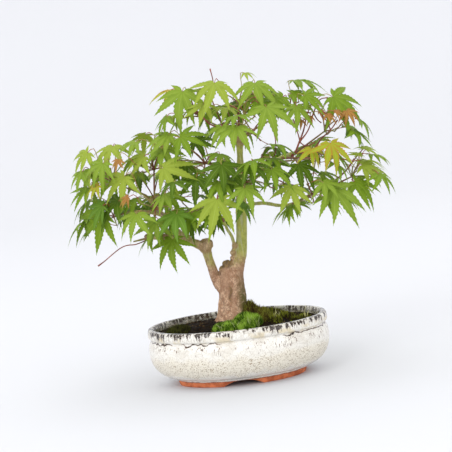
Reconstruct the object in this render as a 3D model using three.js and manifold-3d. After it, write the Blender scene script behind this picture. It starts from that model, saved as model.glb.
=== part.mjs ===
// Japanese maple bonsai in a shallow oval glazed pot, at its real size, in millimetres with +Z up.
// The plant's front faces -Y, and every place below is measured from the middle of the pot's foot.
import * as THREE from 'three';
import { mergeVertices } from 'three/addons/utils/BufferGeometryUtils.js';
import Module from 'manifold-3d';

const wasm = await Module();
wasm.setup();

const { Vector3 } = THREE;
const UP = new Vector3(0, 0, 1);
const DEGREE = Math.PI / 180;

// Clearance between neighbouring pieces, and how finely the seams of joined pieces are kept
const GAP = 0.3;
const SEAM = 0.08;

// Pot: an oval with a wall of even thickness, so its half width is always narrower by one amount
const POT = {
  narrower: 18,
  height: 51.5,
  lipHalf: 80,
  lipHeight: 8.5,
  grooveHalf: 77.8,
  grooveHeight: 41,
  bellyHalf: 80.5,
  bellyHeight: 32,
  wall: 5.8,
  floor: 12,
  floorHalf: 54,
  footHalf: 57,
  footWall: 8,
  footHeight: 6,
  archWidth: 34,
  archHeight: 4.5,
  drainRadius: 6,
  drainSpread: 30,
  segments: 30,
};

// Soil: level round the trunk, falling away to the pot's wall
const SOIL = { ground: 52, level: 26, shoulder: 44, shoulderHeight: 47.5, edge: 45.5 };

// Moss: pads that overlap into one carpet round the right of the trunk, and a thin patch on the left.
// Each pad has the place of its middle, its half sizes and how high it stands.
const MOSS = [
  { name: 'moss_carpet', colour: '#74a127', pads: [
    { at: [3, -27], half: [27, 12], rise: 5.5 },
    { at: [35, -18], half: [18, 15], rise: 7.5 },
    { at: [55, 2], half: [16, 19], rise: 5.5 },
    { at: [30, 24], half: [20, 14], rise: 7.5 }] },
  { name: 'moss_left', colour: '#4d5f22', pads: [
    { at: [-50, -8], half: [17, 20], rise: 3 }] },
];
const MOSS_DEPTH = 4;

// Trunk: its axis as x, y, z and radius, from below the ground to the fork
const TRUNK_AXIS = [
  [-0.5, 0, 46, 14.6],
  [-1.4, 0, 61, 12.6],
  [-1.0, 0, 69, 11.8],
  [-1.3, 0, 78, 11.7],
  [-1.0, 0, 86.5, 11.8],
  [1.6, 0, 93.5, 9.4],
  [5.2, 0, 99, 7.2],
  [8.2, 0, 104.4, 5.8],
];
// Root flare: the heading of each root in degrees, and how far it swells the foot
const ROOTS = [[-6, 6.5], [62, 3.5], [124, 4], [184, 7], [238, 3.5], [292, 4.5]];
const ROOT_SPREAD = 24 * DEGREE;
const ROOT_HEIGHT = 6.5;
// Stub of the leader that was pruned away at the fork
const SCAR_AXIS = [[-1, 0, 84, 8], [-4, -1.5, 93, 6], [-6, -3, 99.6, 5]];

// Limbs, in the order in which they grow. Each has the limb that carries it and how far along, where it
// heads, its radius there, then its axis as x, y, z and radius. At 1 it grows on from its carrier's end,
// and anywhere else from a collar on its carrier's side.
const LIMBS = [
  { name: 'leader', on: 'trunk', along: 1, radius: 5.6, sides: 8, steps: 17, axis: [
    [10.4, 0, 110, 5.2], [12.1, 0.5, 120, 4.8], [13.7, 1, 134, 4.7], [14.9, 1.2, 147, 4.9],
    [16.6, 1.6, 165, 4.1], [17.9, 2, 180, 3.3], [19.1, 2, 194, 2.7], [19.7, 2, 202, 3],
    [20.2, 2, 207.5, 5.9], [20.6, 2, 212, 6.2], [20.9, 2, 216, 3.6]] },
  { name: 'left_bough_riser', on: 'trunk', along: 0.6, toward: [-15.5, 0, 95], radius: 5.2, sides: 8, axis: [
    [-18.9, -0.5, 104, 4.5], [-20, -1, 112, 4.9], [-21.6, -1.5, 117.4, 5.7], [-25, -2, 120.8, 4.3]] },
  { name: 'left_bough_arm', on: 'left_bough_riser', along: 1, radius: 3.9, steps: 8, axis: [
    [-35, -3.5, 126, 3.1], [-43, -4, 130, 2.8], [-56, -5, 131.5, 2.6], [-69, -6, 133.5, 2.5]] },
  { name: 'left_bough_upper', on: 'left_bough_arm', along: 0.3, toward: [-50, 0, 146], radius: 2.2, axis: [
    [-48, 1, 143, 2], [-57, 2, 155, 1.8], [-64, 2, 166, 1.6]] },
  { name: 'left_bough_outer', on: 'left_bough_upper', along: 0.5, toward: [-80, -2, 158], radius: 1.6, axis: [
    [-70, -2, 155.5, 1.5], [-80, -3, 156.5, 1.4]] },
  { name: 'left_bough_back', on: 'left_bough_arm', along: 0.16, toward: [-44, 24, 142], radius: 2, axis: [
    [-40, 14, 139, 1.8], [-48, 26, 150, 1.5]] },
  { name: 'upper_right_bough', on: 'leader', along: 0.66, toward: [42, -1, 188], radius: 2.4, axis: [
    [37, -1, 183.5, 2.2], [53, -2, 188, 2], [66, -2, 191.5, 1.8]] },
  { name: 'lower_right_bough', on: 'leader', along: 0.405, toward: [34, -4, 153], radius: 1.7, axis: [
    [35, -4, 151, 1.6], [49, -6, 147.5, 1.5], [60, -8, 148, 1.4], [76, -8, 154, 1.3], [88, -8, 157, 1.2]] },
  { name: 'back_bough', on: 'leader', along: 0.5, toward: [18, 20, 172], radius: 2.4, axis: [
    [18, 18, 171, 2.1], [17, 33, 178, 1.7]] },
  { name: 'front_bough', on: 'leader', along: 0.47, toward: [17, -18, 168], radius: 2, axis: [
    [17, -15, 166, 1.8], [19, -27, 171, 1.5]] },
  { name: 'small_shoot', on: 'leader', along: 0.13, toward: [0, -3, 126], radius: 1.7, axis: [
    [1.4, -3, 128, 1.5], [-1, -12, 139, 1.3]] },
];
const TRUNK_SIDES = 14;
const TRUNK_STEPS = 12;
const LIMB_SIDES = 6;
const LIMB_STEPS = 5;
const COLLAR_SIDES = 5;
const TWIG_SIDES = 3;
// How far a collar stands out of the limb that carries it, and a limb runs straight out of it
const COLLAR = 1.2;
const LEAD = 2;

// Foliage. Each row has a mass's name, the limb that carries it and how far along, the middle and
// the half sizes of the space that it keeps to, its most leaves and its seed.
const MASSES = [
  ['head_top', 'leader', 1, [24, -4, 247], [37, 36, 24], 5, 11],
  ['head_left', 'leader', 0.955, [-20, -6, 237], [37, 38, 25], 5, 12],
  ['head_right', 'leader', 0.945, [74, -2, 233], [37, 40, 23], 5, 13],
  ['head_front', 'leader', 0.93, [34, -46, 215], [42, 36, 32], 5, 14],
  ['head_back', 'leader', 0.93, [26, 48, 222], [44, 38, 34], 5, 15],
  ['centre_front_low', 'small_shoot', 1, [-10, -46, 163], [38, 36, 31], 5, 21],
  ['centre_front', 'front_bough', 1, [34, -52, 176], [40, 36, 34], 5, 22],
  ['centre_left', 'leader', 0.66, [-20, -22, 196], [38, 38, 30], 4, 23],
  ['back_left', 'back_bough', 0.75, [-18, 54, 194], [42, 40, 38], 4, 24],
  ['back_right', 'back_bough', 1, [48, 60, 178], [44, 40, 40], 5, 25],
  ['right_high', 'upper_right_bough', 1, [104, 4, 212], [34, 40, 29], 5, 31],
  ['right_middle', 'upper_right_bough', 0.72, [88, -28, 186], [38, 38, 30], 5, 32],
  ['right_tip', 'lower_right_bough', 1, [124, -2, 166], [30, 40, 27], 5, 33],
  ['right_low', 'lower_right_bough', 0.66, [82, -26, 146], [42, 38, 32], 5, 34],
  ['right_back', 'upper_right_bough', 0.5, [98, 46, 182], [42, 40, 40], 4, 35],
  ['left_upper', 'left_bough_upper', 0.8, [-56, -2, 200], [40, 40, 26], 5, 41],
  ['left_outer', 'left_bough_upper', 1, [-102, 0, 188], [37, 42, 29], 5, 42],
  ['left_low', 'left_bough_outer', 1, [-106, -4, 144], [35, 40, 34], 5, 43],
  ['left_front', 'left_bough_upper', 0.45, [-60, -42, 160], [42, 38, 36], 5, 44],
  ['left_inner', 'left_bough_arm', 0.55, [-48, -16, 121], [30, 36, 29], 4, 45],
  ['left_back', 'left_bough_back', 1, [-70, 50, 172], [46, 40, 40], 5, 46],
  ['left_back_low', 'left_bough_back', 0.6, [-26, 54, 150], [40, 38, 36], 4, 47],
  ['left_shoot', 'left_bough_arm', 0.9, [-88, -8, 119], [34, 38, 22], 2, 48],
];

// Twigs of a mass: how many it may grow, how many ways each is tried, their length and thickness
const TWIG = {
  most: 10,
  tries: 24,
  shortest: 8,
  longest: 24,
  inset: 4,
  onward: 0.5,
  radius: 0.85,
  tipRadius: 0.6,
};
const STEM_RADIUS = 1.3;
// Swollen nodes where twigs and leaf stalks part, and how far from a node's middle they start
const NODE = { hub: 2.2, tip: 1.5, start: 0.4 };
// Leaf stalks: length, thickness, swing from the twig, and the share that hangs in line with the blade
const STALK = { shortest: 12, longest: 22, radius: 0.55, swing: 75 * DEGREE, hang: 0.35 };
// Leaf blades: length from the stalk to the middle tip, how they hang, and how thick they are
const LEAF = {
  shortest: 25,
  longest: 32,
  droopLeast: 26 * DEGREE,
  droopMost: 62 * DEGREE,
  roll: 22 * DEGREE,
  halfThickness: 0.8,
  tipDrop: 0.16,
};
// Lobes from the middle one outwards: heading in degrees and length, with a notch between each two
const LOBES = [[0, 1], [37, 0.95], [75, 0.76], [118, 0.44]];
const NOTCH = 0.4;
const BASE_NOTCH = 0.1;
// Leaves turn outwards from the crown's axis, and those at the front a little more to the front
const CROWN_AXIS_X = 12;
const OUTWARD = 0.8;
const FRONT_TURN = 0.55;
const FRONT_DEPTH = 14;
// A leaf is tried this often before its place stays empty, and may spill this far into the next space
const TRIES = 80;
const SPILL = 18;
// A mass is grown again from another seed, up to this often, while it has too few leaves
const REGROWTHS = 8;
const SEED_STEP = 100;
// Room that a new twig or leaf needs round it, past the share of its length where it joins on
const LEAF_ROOM = 0.5;
const ROOT_SHARE = 0.3;

const COLOURS = {
  glaze: '#dcd8cc',
  soil: '#2c2219',
  trunk: '#a08a74',
  bark: '#8d8c58',
  leaf: '#86b13c',
};

// Repeatable random numbers: each call gives the next one between low and high
function randomSource(seed) {
  let state = seed >>> 0;
  return (low, high) => {
    state = (Math.imul(state, 1664525) + 1013904223) >>> 0;
    return low + (high - low) * (state / 4294967296);
  };
}

// A geometry's triangles as one closed solid with its faces pointing out
function solidOf(geometry) {
  const bare = new THREE.BufferGeometry();
  bare.setAttribute('position', geometry.getAttribute('position'));
  bare.setIndex(geometry.index);
  const merged = mergeVertices(bare, 1e-5);
  const position = merged.getAttribute('position');
  const index = [];
  let volume = 0;
  const corner = [new Vector3(), new Vector3(), new Vector3()];
  for (let face = 0; face < merged.index.count; face += 3) {
    const [a, b, c] = [0, 1, 2].map((step) => merged.index.getX(face + step));
    if (a === b || b === c || c === a) continue;
    index.push(a, b, c);
    corner[0].fromBufferAttribute(position, a);
    corner[1].fromBufferAttribute(position, b);
    corner[2].fromBufferAttribute(position, c);
    volume += corner[0].dot(corner[1].cross(corner[2]));
  }
  if (volume < 0) index.reverse();
  const mesh = new wasm.Mesh({
    numProp: 3,
    vertProperties: new Float32Array(position.array),
    triVerts: new Uint32Array(index),
  });
  return new wasm.Manifold(mesh);
}

// A solid's triangles as a geometry
function geometryOf(solid) {
  const mesh = solid.getMesh();
  const geometry = new THREE.BufferGeometry();
  geometry.setAttribute('position', new THREE.BufferAttribute(new Float32Array(mesh.vertProperties), 3));
  geometry.setIndex(new THREE.BufferAttribute(new Uint32Array(mesh.triVerts), 1));
  geometry.computeVertexNormals();
  return geometry;
}

// Several solids as one, without loose scraps or sealed hollows
function fuse(solids) {
  const bodies = wasm.Manifold.union(solids).decompose();
  const whole = bodies.reduce((largest, body) => (body.volume() > largest.volume() ? body : largest));
  return whole.simplify(SEAM);
}

function box(sizeX, sizeY, sizeZ, centre) {
  return solidOf(new THREE.BoxGeometry(sizeX, sizeY, sizeZ).translate(...centre));
}

// An axis through points given as x, y, z and radius
function limbAxis(points) {
  const curve = new THREE.CatmullRomCurve3(points.map(([x, y, z]) => new Vector3(x, y, z)));
  const radii = points.map((point) => point[3]);
  const radiusAt = (along) => {
    const place = curve.getUtoTmapping(along) * (radii.length - 1);
    const index = Math.min(Math.floor(place), radii.length - 2);
    return THREE.MathUtils.lerp(radii[index], radii[index + 1], place - index);
  };
  return { curve, radiusAt };
}

// A round limb along an axis, made from a cylinder whose rings are moved onto it
function limbSolid({ curve, radiusAt }, sides, steps, swell = () => 0) {
  const tube = new THREE.CylinderGeometry(1, 1, 1, sides, steps);
  const frames = curve.computeFrenetFrames(steps, false);
  const position = tube.getAttribute('position');
  for (let vertex = 0; vertex < position.count; vertex += 1) {
    const step = Math.round((position.getY(vertex) + 0.5) * steps);
    const along = step / steps;
    const outward = frames.normals[step].clone().multiplyScalar(position.getX(vertex));
    outward.addScaledVector(frames.binormals[step], -position.getZ(vertex));
    const middle = curve.getPointAt(along);
    const radius = radiusAt(along) + (outward.length() > 0.5 ? swell(middle, outward) : 0);
    middle.addScaledVector(outward, radius);
    position.setXYZ(vertex, middle.x, middle.y, middle.z);
  }
  return solidOf(tube);
}

// How far the roots swell the trunk's foot, with low ridges that run up the bark
function rootFlare(middle, outward) {
  const heading = Math.atan2(outward.y, outward.x);
  const low = Math.exp((SOIL.ground - middle.z) / ROOT_HEIGHT);
  const spread = ROOTS.reduce((total, [degrees, size]) => {
    const turn = THREE.MathUtils.euclideanModulo(heading - degrees * DEGREE + Math.PI, 2 * Math.PI) - Math.PI;
    return total + size * Math.exp(-((turn / ROOT_SPREAD) ** 2));
  }, 0);
  return spread * Math.min(low, 1) + 0.5 * Math.sin(heading * 5 + middle.z * 0.35);
}

// Turns a profile into an oval: its half width is narrower than its half length by one amount
function ovalLathe(profile) {
  const narrowest = POT.footHalf - POT.footWall;
  const lathe = new THREE.LatheGeometry(profile, POT.segments).rotateX(Math.PI / 2);
  const position = lathe.getAttribute('position');
  for (let vertex = 0; vertex < position.count; vertex += 1) {
    const radius = Math.hypot(position.getX(vertex), position.getY(vertex));
    const half = Math.max(radius, narrowest);
    position.setY(vertex, position.getY(vertex) * (half - POT.narrower) / half);
  }
  return solidOf(lathe);
}

// Profile of the pot's inside, from the middle of its floor up its wall to the given height
function insideProfile(clearance, top) {
  const wall = POT.bellyHalf - POT.wall - clearance;
  const floor = POT.floor + clearance;
  const path = new THREE.Path().moveTo(0, floor);
  path.lineTo(POT.floorHalf, floor);
  path.quadraticCurveTo(wall, floor + 1, wall - 0.6, POT.bellyHeight);
  path.lineTo(wall - 0.8, top);
  return path.getPoints(3);
}

// Pot: body with a rolled lip over a groove, standing on a foot ring with an arch at front and back
function pot() {
  const inner = insideProfile(0, POT.height - 3).reverse();
  const lipFoot = POT.height - POT.lipHeight;
  const outer = new THREE.Path().moveTo(0, POT.footHeight);
  outer.lineTo(POT.footHalf - POT.footWall - 1, POT.footHeight);
  outer.lineTo(POT.footHalf - POT.footWall, 0);
  outer.lineTo(POT.footHalf - 1, 0);
  outer.lineTo(POT.footHalf + 1, POT.footHeight);
  outer.quadraticCurveTo(POT.bellyHalf - 1, POT.footHeight + 3, POT.bellyHalf, POT.bellyHeight);
  outer.quadraticCurveTo(POT.bellyHalf, POT.grooveHeight - 3, POT.grooveHalf, POT.grooveHeight);
  outer.lineTo(POT.grooveHalf, lipFoot);
  outer.quadraticCurveTo(POT.lipHalf, lipFoot, POT.lipHalf, lipFoot + 3);
  outer.quadraticCurveTo(POT.lipHalf, POT.height, POT.grooveHalf, POT.height);
  outer.lineTo(inner[0].x + 0.6, POT.height);
  const body = ovalLathe([...outer.getPoints(3), ...inner]);

  const arch = new THREE.Shape();
  arch.moveTo(-POT.archWidth / 2, -1);
  arch.lineTo(-POT.archWidth / 2, 0);
  arch.quadraticCurveTo(-POT.archWidth / 3, POT.archHeight, 0, POT.archHeight);
  arch.quadraticCurveTo(POT.archWidth / 3, POT.archHeight, POT.archWidth / 2, 0);
  arch.lineTo(POT.archWidth / 2, -1);
  const length = 2 * POT.bellyHalf;
  const tunnel = new THREE.ExtrudeGeometry(arch, { depth: length, bevelEnabled: false, curveSegments: 5 });
  tunnel.rotateX(Math.PI / 2).translate(0, POT.bellyHalf, 0);

  const drains = [-1, 1].map((side) => {
    const drain = new THREE.CylinderGeometry(POT.drainRadius, POT.drainRadius, 2 * POT.floor, 14);
    drain.rotateX(Math.PI / 2).translate(side * POT.drainSpread, 0, POT.floor);
    return solidOf(drain);
  });
  return fuse([body.subtract(solidOf(tunnel)).subtract(wasm.Manifold.union(drains))]);
}

// Soil: fills the pot, clear of its wall, with the level ground that the trunk stands on
function soil() {
  const top = new THREE.Path().moveTo(insideProfile(GAP, SOIL.edge).at(-1).x, SOIL.edge);
  top.quadraticCurveTo(SOIL.shoulder + 12, SOIL.edge, SOIL.shoulder, SOIL.shoulderHeight);
  top.quadraticCurveTo(SOIL.shoulder - 8, SOIL.ground, SOIL.level, SOIL.ground);
  top.lineTo(0, SOIL.ground);
  return ovalLathe([...insideProfile(GAP, SOIL.edge), ...top.getPoints(2).slice(1)]);
}

// All the room inside the pot, clear of its wall, up to above its lip
function insideRoom() {
  const profile = insideProfile(GAP, POT.height + MOSS_DEPTH);
  return ovalLathe([...profile, new THREE.Vector2(0, POT.height + MOSS_DEPTH)]);
}

// A lumpy cushion of moss, sunk into the ground by its depth
function mossPad({ at, half, rise }) {
  const ball = new THREE.SphereGeometry(1, 10, 4).rotateX(Math.PI / 2);
  const position = ball.getAttribute('position');
  for (let vertex = 0; vertex < position.count; vertex += 1) {
    const [x, y, z] = [position.getX(vertex), position.getY(vertex), position.getZ(vertex)];
    const lump = 1 + 0.09 * Math.sin(5 * x + at[0]) * Math.cos(5 * y + at[1]);
    const height = SOIL.ground + MOSS_DEPTH * (z - 1) + rise * z * lump;
    position.setXYZ(vertex, at[0] + x * half[0], at[1] + y * half[1], height);
  }
  return solidOf(ball);
}

// Where a child leaves its carrier: on from the carrier's end, or out of a collar on its side
function joint(carrier, along, toward, radius) {
  const root = carrier.axis.curve.getPointAt(along);
  const tangent = carrier.axis.curve.getTangentAt(along);
  if (along === 1) {
    return { heading: tangent, start: root.clone().addScaledVector(tangent, GAP), collar: null };
  }
  const heading = toward.clone().sub(root).normalize();
  const slant = Math.max(Math.sin(heading.angleTo(tangent)), 0.5);
  const wide = carrier.axis.radiusAt(along) + radius * Math.abs(heading.dot(tangent));
  const start = root.clone().addScaledVector(heading, wide / slant + COLLAR);
  const face = start.clone().addScaledVector(heading, -GAP);
  const neck = start.clone().addScaledVector(heading, -GAP - 1);
  const rows = [[...root, 1.5 * radius], [...neck, 1.1 * radius], [...face, radius]];
  return { heading, start, collar: limbSolid(limbAxis(rows), COLLAR_SIDES, 2) };
}

// First points of a child's axis: straight out of the joint, so that the two end faces are parallel
function axisFrom({ start, heading }, radius, points) {
  const lead = start.clone().addScaledVector(heading, LEAD);
  return limbAxis([[...start, radius], [...lead, radius], ...points]);
}

// Outline of a leaf as heading and length for each point, once round from the notch at its stalk
function leafOutline() {
  const side = [];
  LOBES.forEach(([degrees, length], lobe) => {
    side.push([degrees * DEGREE, length]);
    const next = LOBES[lobe + 1];
    if (next) side.push([DEGREE * (degrees + next[0]) / 2, NOTCH * (length + next[1]) / 2]);
  });
  const mirrored = side.slice(1).reverse().map(([heading, reach]) => [-heading, reach]);
  return [...mirrored, ...side, [Math.PI, BASE_NOTCH]];
}
const OUTLINE = leafOutline();

// A leaf blade: a double cone whose rim is pulled out to the leaf's outline, with its tips bent down
function bladeSolid({ base, tip, across, normal, length }, extra = 0) {
  const count = OUTLINE.length;
  const blade = new THREE.SphereGeometry(1, count, 2);
  const position = blade.getAttribute('position');
  for (let vertex = 0; vertex < position.count; vertex += 1) {
    const ring = Math.floor(vertex / (count + 1));
    const place = base.clone();
    if (ring === 1) {
      const [heading, reach] = OUTLINE[(vertex % (count + 1)) % count];
      const size = length * reach + extra;
      place.addScaledVector(tip, Math.cos(heading) * size);
      place.addScaledVector(across, Math.sin(heading) * size);
      place.addScaledVector(normal, -LEAF.tipDrop * length * reach * reach);
    } else {
      place.addScaledVector(normal, (1 - ring) * (LEAF.halfThickness + extra));
    }
    position.setXYZ(vertex, place.x, place.y, place.z);
  }
  return solidOf(blade);
}

// Whether a point lies in a mass's own space: inside its reach, and nearer its middle than any other's
function inSpace(point, mass, spill) {
  const offset = point.clone().sub(mass.middle);
  const stretch = offset.clone().divide(mass.extent);
  if (Math.max(...stretch.toArray().map(Math.abs)) > 1) return false;
  return masses.every((other) => {
    if (other === mass) return true;
    const between = other.middle.clone().sub(mass.middle);
    const past = offset.dot(between) / between.length() - between.length() / 2;
    return past < spill;
  });
}

// Whether a solid is clear of every solid in a list
function isClear(solid, others) {
  const reach = solid.boundingBox();
  return others.every(({ bounds, body }) => {
    const apart = [0, 1, 2].some((axis) => (
      bounds.min[axis] > reach.max[axis] || bounds.max[axis] < reach.min[axis]));
    return apart || solid.intersect(body).isEmpty();
  });
}

function obstacle(body) {
  return { body, bounds: body.boundingBox() };
}

// One try at a leaf on its stalk: it turns outwards, hangs, and is rolled a little to one side
function tryLeaf(node, heading, random) {
  const reach = random(STALK.shortest, STALK.longest);
  const base = node.clone().addScaledVector(heading, reach);
  base.z -= random(0, 0.3) * reach;
  const facing = new Vector3(heading.x, heading.y, 0);
  const outward = new Vector3(base.x - CROWN_AXIS_X, base.y, 0).normalize();
  facing.addScaledVector(outward, OUTWARD);
  if (base.y < FRONT_DEPTH) facing.y -= FRONT_TURN;
  facing.normalize();
  const droop = random(LEAF.droopLeast, LEAF.droopMost);
  const tip = facing.clone().multiplyScalar(Math.cos(droop)).addScaledVector(UP, -Math.sin(droop));
  const normal = facing.clone().multiplyScalar(Math.sin(droop)).addScaledVector(UP, Math.cos(droop));
  normal.applyAxisAngle(tip, random(-LEAF.roll, LEAF.roll));
  const across = normal.clone().cross(tip);
  const length = random(LEAF.shortest, LEAF.longest);
  const middle = base.clone().addScaledVector(tip, -STALK.hang * reach);
  const thick = STALK.radius;
  const root = node.clone().addScaledVector(heading, NODE.start);
  const rows = [[...root, thick], [...middle, thick], [...base, thick]];
  return { base, middle, tip, across, normal, length, rows };
}

// Adds one leaf to a mass, if one of its tries fits the space and touches nothing
function addLeaf(mass, node, heading, random, { taken, bases, solids }) {
  for (let attempt = 0; attempt < TRIES; attempt += 1) {
    const turned = heading.clone();
    turned.x += random(-0.3, 0.3);
    turned.y += random(-0.3, 0.3);
    turned.z += random(-0.25, 0.35);
    const leaf = tryLeaf(node, turned.normalize(), random);
    const rim = OUTLINE.map(([turn, reach]) => leaf.base.clone()
      .addScaledVector(leaf.tip, Math.cos(turn) * reach * leaf.length)
      .addScaledVector(leaf.across, Math.sin(turn) * reach * leaf.length));
    const fits = inSpace(leaf.base, mass, -1) && rim.every((point) => inSpace(point, mass, SPILL));
    if (!fits) continue;
    const wide = STALK.radius + LEAF_ROOM;
    const clearOf = node.clone().lerp(leaf.middle, ROOT_SHARE);
    const freeStalk = limbAxis([[...clearOf, wide], [...leaf.middle, wide], [...leaf.base, wide]]);
    const room = [bladeSolid(leaf, LEAF_ROOM), limbSolid(freeStalk, TWIG_SIDES, 2)];
    if (!room.every((solid) => isClear(solid, taken))) continue;
    const blade = bladeSolid(leaf);
    const stalk = limbSolid(limbAxis(leaf.rows), TWIG_SIDES, 2);
    solids.push(blade, stalk);
    taken.push(obstacle(blade), obstacle(stalk));
    bases.push(leaf.base);
    return true;
  }
  return false;
}

function nodeSolid(middle, radius) {
  return solidOf(new THREE.OctahedronGeometry(radius).translate(...middle));
}

// The clear way from a hub to a twig's tip that ends furthest from all leaves grown so far
function bestTwig(mass, hub, forward, random, { taken, bases }) {
  let best = null;
  for (let attempt = 0; attempt < TWIG.tries; attempt += 1) {
    const heading = new Vector3(random(-1, 1), random(-1, 1), random(-0.6, 0.8)).normalize();
    heading.addScaledVector(forward, TWIG.onward).normalize();
    const length = random(TWIG.shortest, TWIG.longest);
    const tip = hub.clone().addScaledVector(heading, length);
    if (!inSpace(tip, mass, -TWIG.inset)) continue;
    const room = Math.min(...bases.map((base) => base.distanceTo(tip)));
    if (best && room < best.room) continue;
    const root = hub.clone().addScaledVector(heading, NODE.start);
    const middle = hub.clone().addScaledVector(heading, length / 2).addScaledVector(UP, 0.05 * length);
    const rows = [[...root, TWIG.radius], [...middle, TWIG.radius], [...tip, TWIG.tipRadius]];
    const wide = TWIG.radius + LEAF_ROOM;
    const free = limbAxis([[...root.lerp(tip, ROOT_SHARE), wide], [...tip, wide]]);
    if (isClear(limbSolid(free, TWIG_SIDES, 1), taken)) {
      best = { heading, tip, room, body: limbSolid(limbAxis(rows), TWIG_SIDES, 1) };
    }
  }
  return best;
}

// Grows one mass: twigs part from the end of its stem, each with a pair of leaves at its tip
function growMass(mass, seed, plantSoFar) {
  const random = randomSource(seed);
  const hub = mass.axis.curve.getPointAt(1);
  const forward = mass.axis.curve.getTangentAt(1);
  const grown = { ...plantSoFar, solids: [mass.stem, nodeSolid(hub, NODE.hub)], leaves: 0 };
  grown.taken = [...plantSoFar.taken];
  grown.bases = [...plantSoFar.bases];
  for (let twig = 0; twig < TWIG.most && grown.leaves < mass.most; twig += 1) {
    const way = bestTwig(mass, hub, forward, random, grown);
    if (!way) continue;
    const level = way.heading.clone().cross(UP);
    if (level.length() < 0.3) level.set(0, 1, 0);
    const hinge = level.cross(way.heading).normalize();
    const before = grown.leaves;
    [-1, 1].forEach((side) => {
      const swing = side * STALK.swing * random(0.7, 1.15);
      const stalkHeading = way.heading.clone().applyAxisAngle(hinge, swing);
      if (grown.leaves === mass.most) return;
      if (addLeaf(mass, way.tip, stalkHeading, random, grown)) grown.leaves += 1;
    });
    if (grown.leaves === before) continue;
    grown.solids.push(way.body, nodeSolid(way.tip, NODE.tip));
    grown.taken.push(obstacle(way.body));
  }
  return grown;
}

// The fullest of a few growths of one mass
function fullestMass(mass, plantSoFar) {
  let best = { leaves: -1 };
  for (let turn = 0; turn < REGROWTHS && best.leaves < mass.most; turn += 1) {
    const grown = growMass(mass, mass.seed + turn * SEED_STEP, plantSoFar);
    if (grown.leaves > best.leaves) best = grown;
  }
  return best;
}

// The trunk and its limbs, each with the collars of what grows from its side
const limbs = new Map();
limbs.set('trunk', { name: 'trunk', axis: limbAxis(TRUNK_AXIS), collars: [] });
const trunkFlare = limbSolid(limbs.get('trunk').axis, TRUNK_SIDES, TRUNK_STEPS, rootFlare);
const belowGround = box(100, 100, SOIL.ground, [0, 0, SOIL.ground / 2 + GAP]);
limbs.get('trunk').solid = fuse([trunkFlare, limbSolid(limbAxis(SCAR_AXIS), 10, 3)]).subtract(belowGround);

LIMBS.forEach(({ name, on, along, toward, radius, axis, sides, steps }) => {
  const carrier = limbs.get(on);
  const place = joint(carrier, along, toward ? new Vector3(...toward) : null, radius);
  if (place.collar) carrier.collars.push(place.collar);
  const line = axisFrom(place, radius, axis);
  const solid = limbSolid(line, sides ?? LIMB_SIDES, steps ?? LIMB_STEPS);
  limbs.set(name, { name, axis: line, solid, collars: [] });
});

// Stems of the masses, from their limb to a hub short of the middle of their space
const HUB_SHARE = 0.35;
const masses = MASSES.map(([name, on, along, centre, reach, most, seed]) => ({
  name,
  on,
  along,
  middle: new Vector3(...centre),
  extent: new Vector3(...reach),
  most,
  seed,
}));
masses.forEach((mass) => {
  const carrier = limbs.get(mass.on);
  const place = joint(carrier, mass.along, mass.middle, STEM_RADIUS);
  if (place.collar) carrier.collars.push(place.collar);
  const inward = place.start.clone().sub(mass.middle);
  const depth = Math.min(HUB_SHARE * Math.min(...mass.extent), inward.length() / 2);
  const hub = mass.middle.clone().addScaledVector(inward.normalize(), depth);
  mass.axis = axisFrom(place, STEM_RADIUS, [[...hub, TWIG.radius]]);
  mass.stem = limbSolid(mass.axis, 4, 3);
});

limbs.forEach((limb) => {
  limb.solid = fuse([limb.solid, ...limb.collars]);
});

const plant = new THREE.Group();
function place(name, solid, colour, roughness) {
  const material = new THREE.MeshStandardMaterial({ color: colour, roughness, flatShading: true });
  const mesh = new THREE.Mesh(geometryOf(solid), material);
  mesh.name = name;
  plant.add(mesh);
}

place('pot', pot(), COLOURS.glaze, 0.3);
const earth = soil();
place('soil', earth, COLOURS.soil, 0.95);

// Moss lies on the soil, clear of it, of the trunk's foot and of the pot's wall
const raisedEarth = earth.translate(0, 0, GAP);
const widerFoot = limbSolid(limbs.get('trunk').axis, TRUNK_SIDES, TRUNK_STEPS,
  (middle, outward) => rootFlare(middle, outward) + 2 * GAP);
const potInside = insideRoom();
MOSS.forEach(({ name, colour, pads }) => {
  const carpet = wasm.Manifold.union(pads.map(mossPad)).intersect(potInside);
  place(name, fuse([carpet.subtract(raisedEarth).subtract(widerFoot)]), colour, 0.95);
});

limbs.forEach((limb) => {
  place(limb.name, limb.solid, limb.name === 'trunk' ? COLOURS.trunk : COLOURS.bark, 0.8);
});

let plantSoFar = {
  taken: [...limbs.values(), ...masses].map(({ solid, stem }) => obstacle(solid ?? stem)),
  bases: [new Vector3(0, 0, SOIL.ground)],
};
masses.forEach((mass) => {
  const { taken, bases, solids } = fullestMass(mass, plantSoFar);
  plantSoFar = { taken, bases };
  place(`${mass.name}_foliage`, fuse(solids), COLOURS.leaf, 0.6);
});

// The finished model stands with the middle of its whole outline over the origin
const bounds = new THREE.Box3().setFromObject(plant);
const middle = bounds.getCenter(new Vector3());
plant.position.set(-middle.x, -middle.y, 0);
const model = new THREE.Group();
model.add(plant);

export default model;
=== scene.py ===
"""Looks of a japanese maple bonsai in a shallow oval glazed pot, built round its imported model.

Lengths are millimetres, measured from the middle of the pot's foot, until a piece is made from them.
The plant's front faces -Y.
"""

import math
from dataclasses import dataclass, field
from functools import partial

import bpy
import numpy as np
from bpy.props import FloatProperty, FloatVectorProperty, IntProperty, PointerProperty
from mathutils import Matrix, Vector, noise
from mathutils.bvhtree import BVHTree

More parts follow.
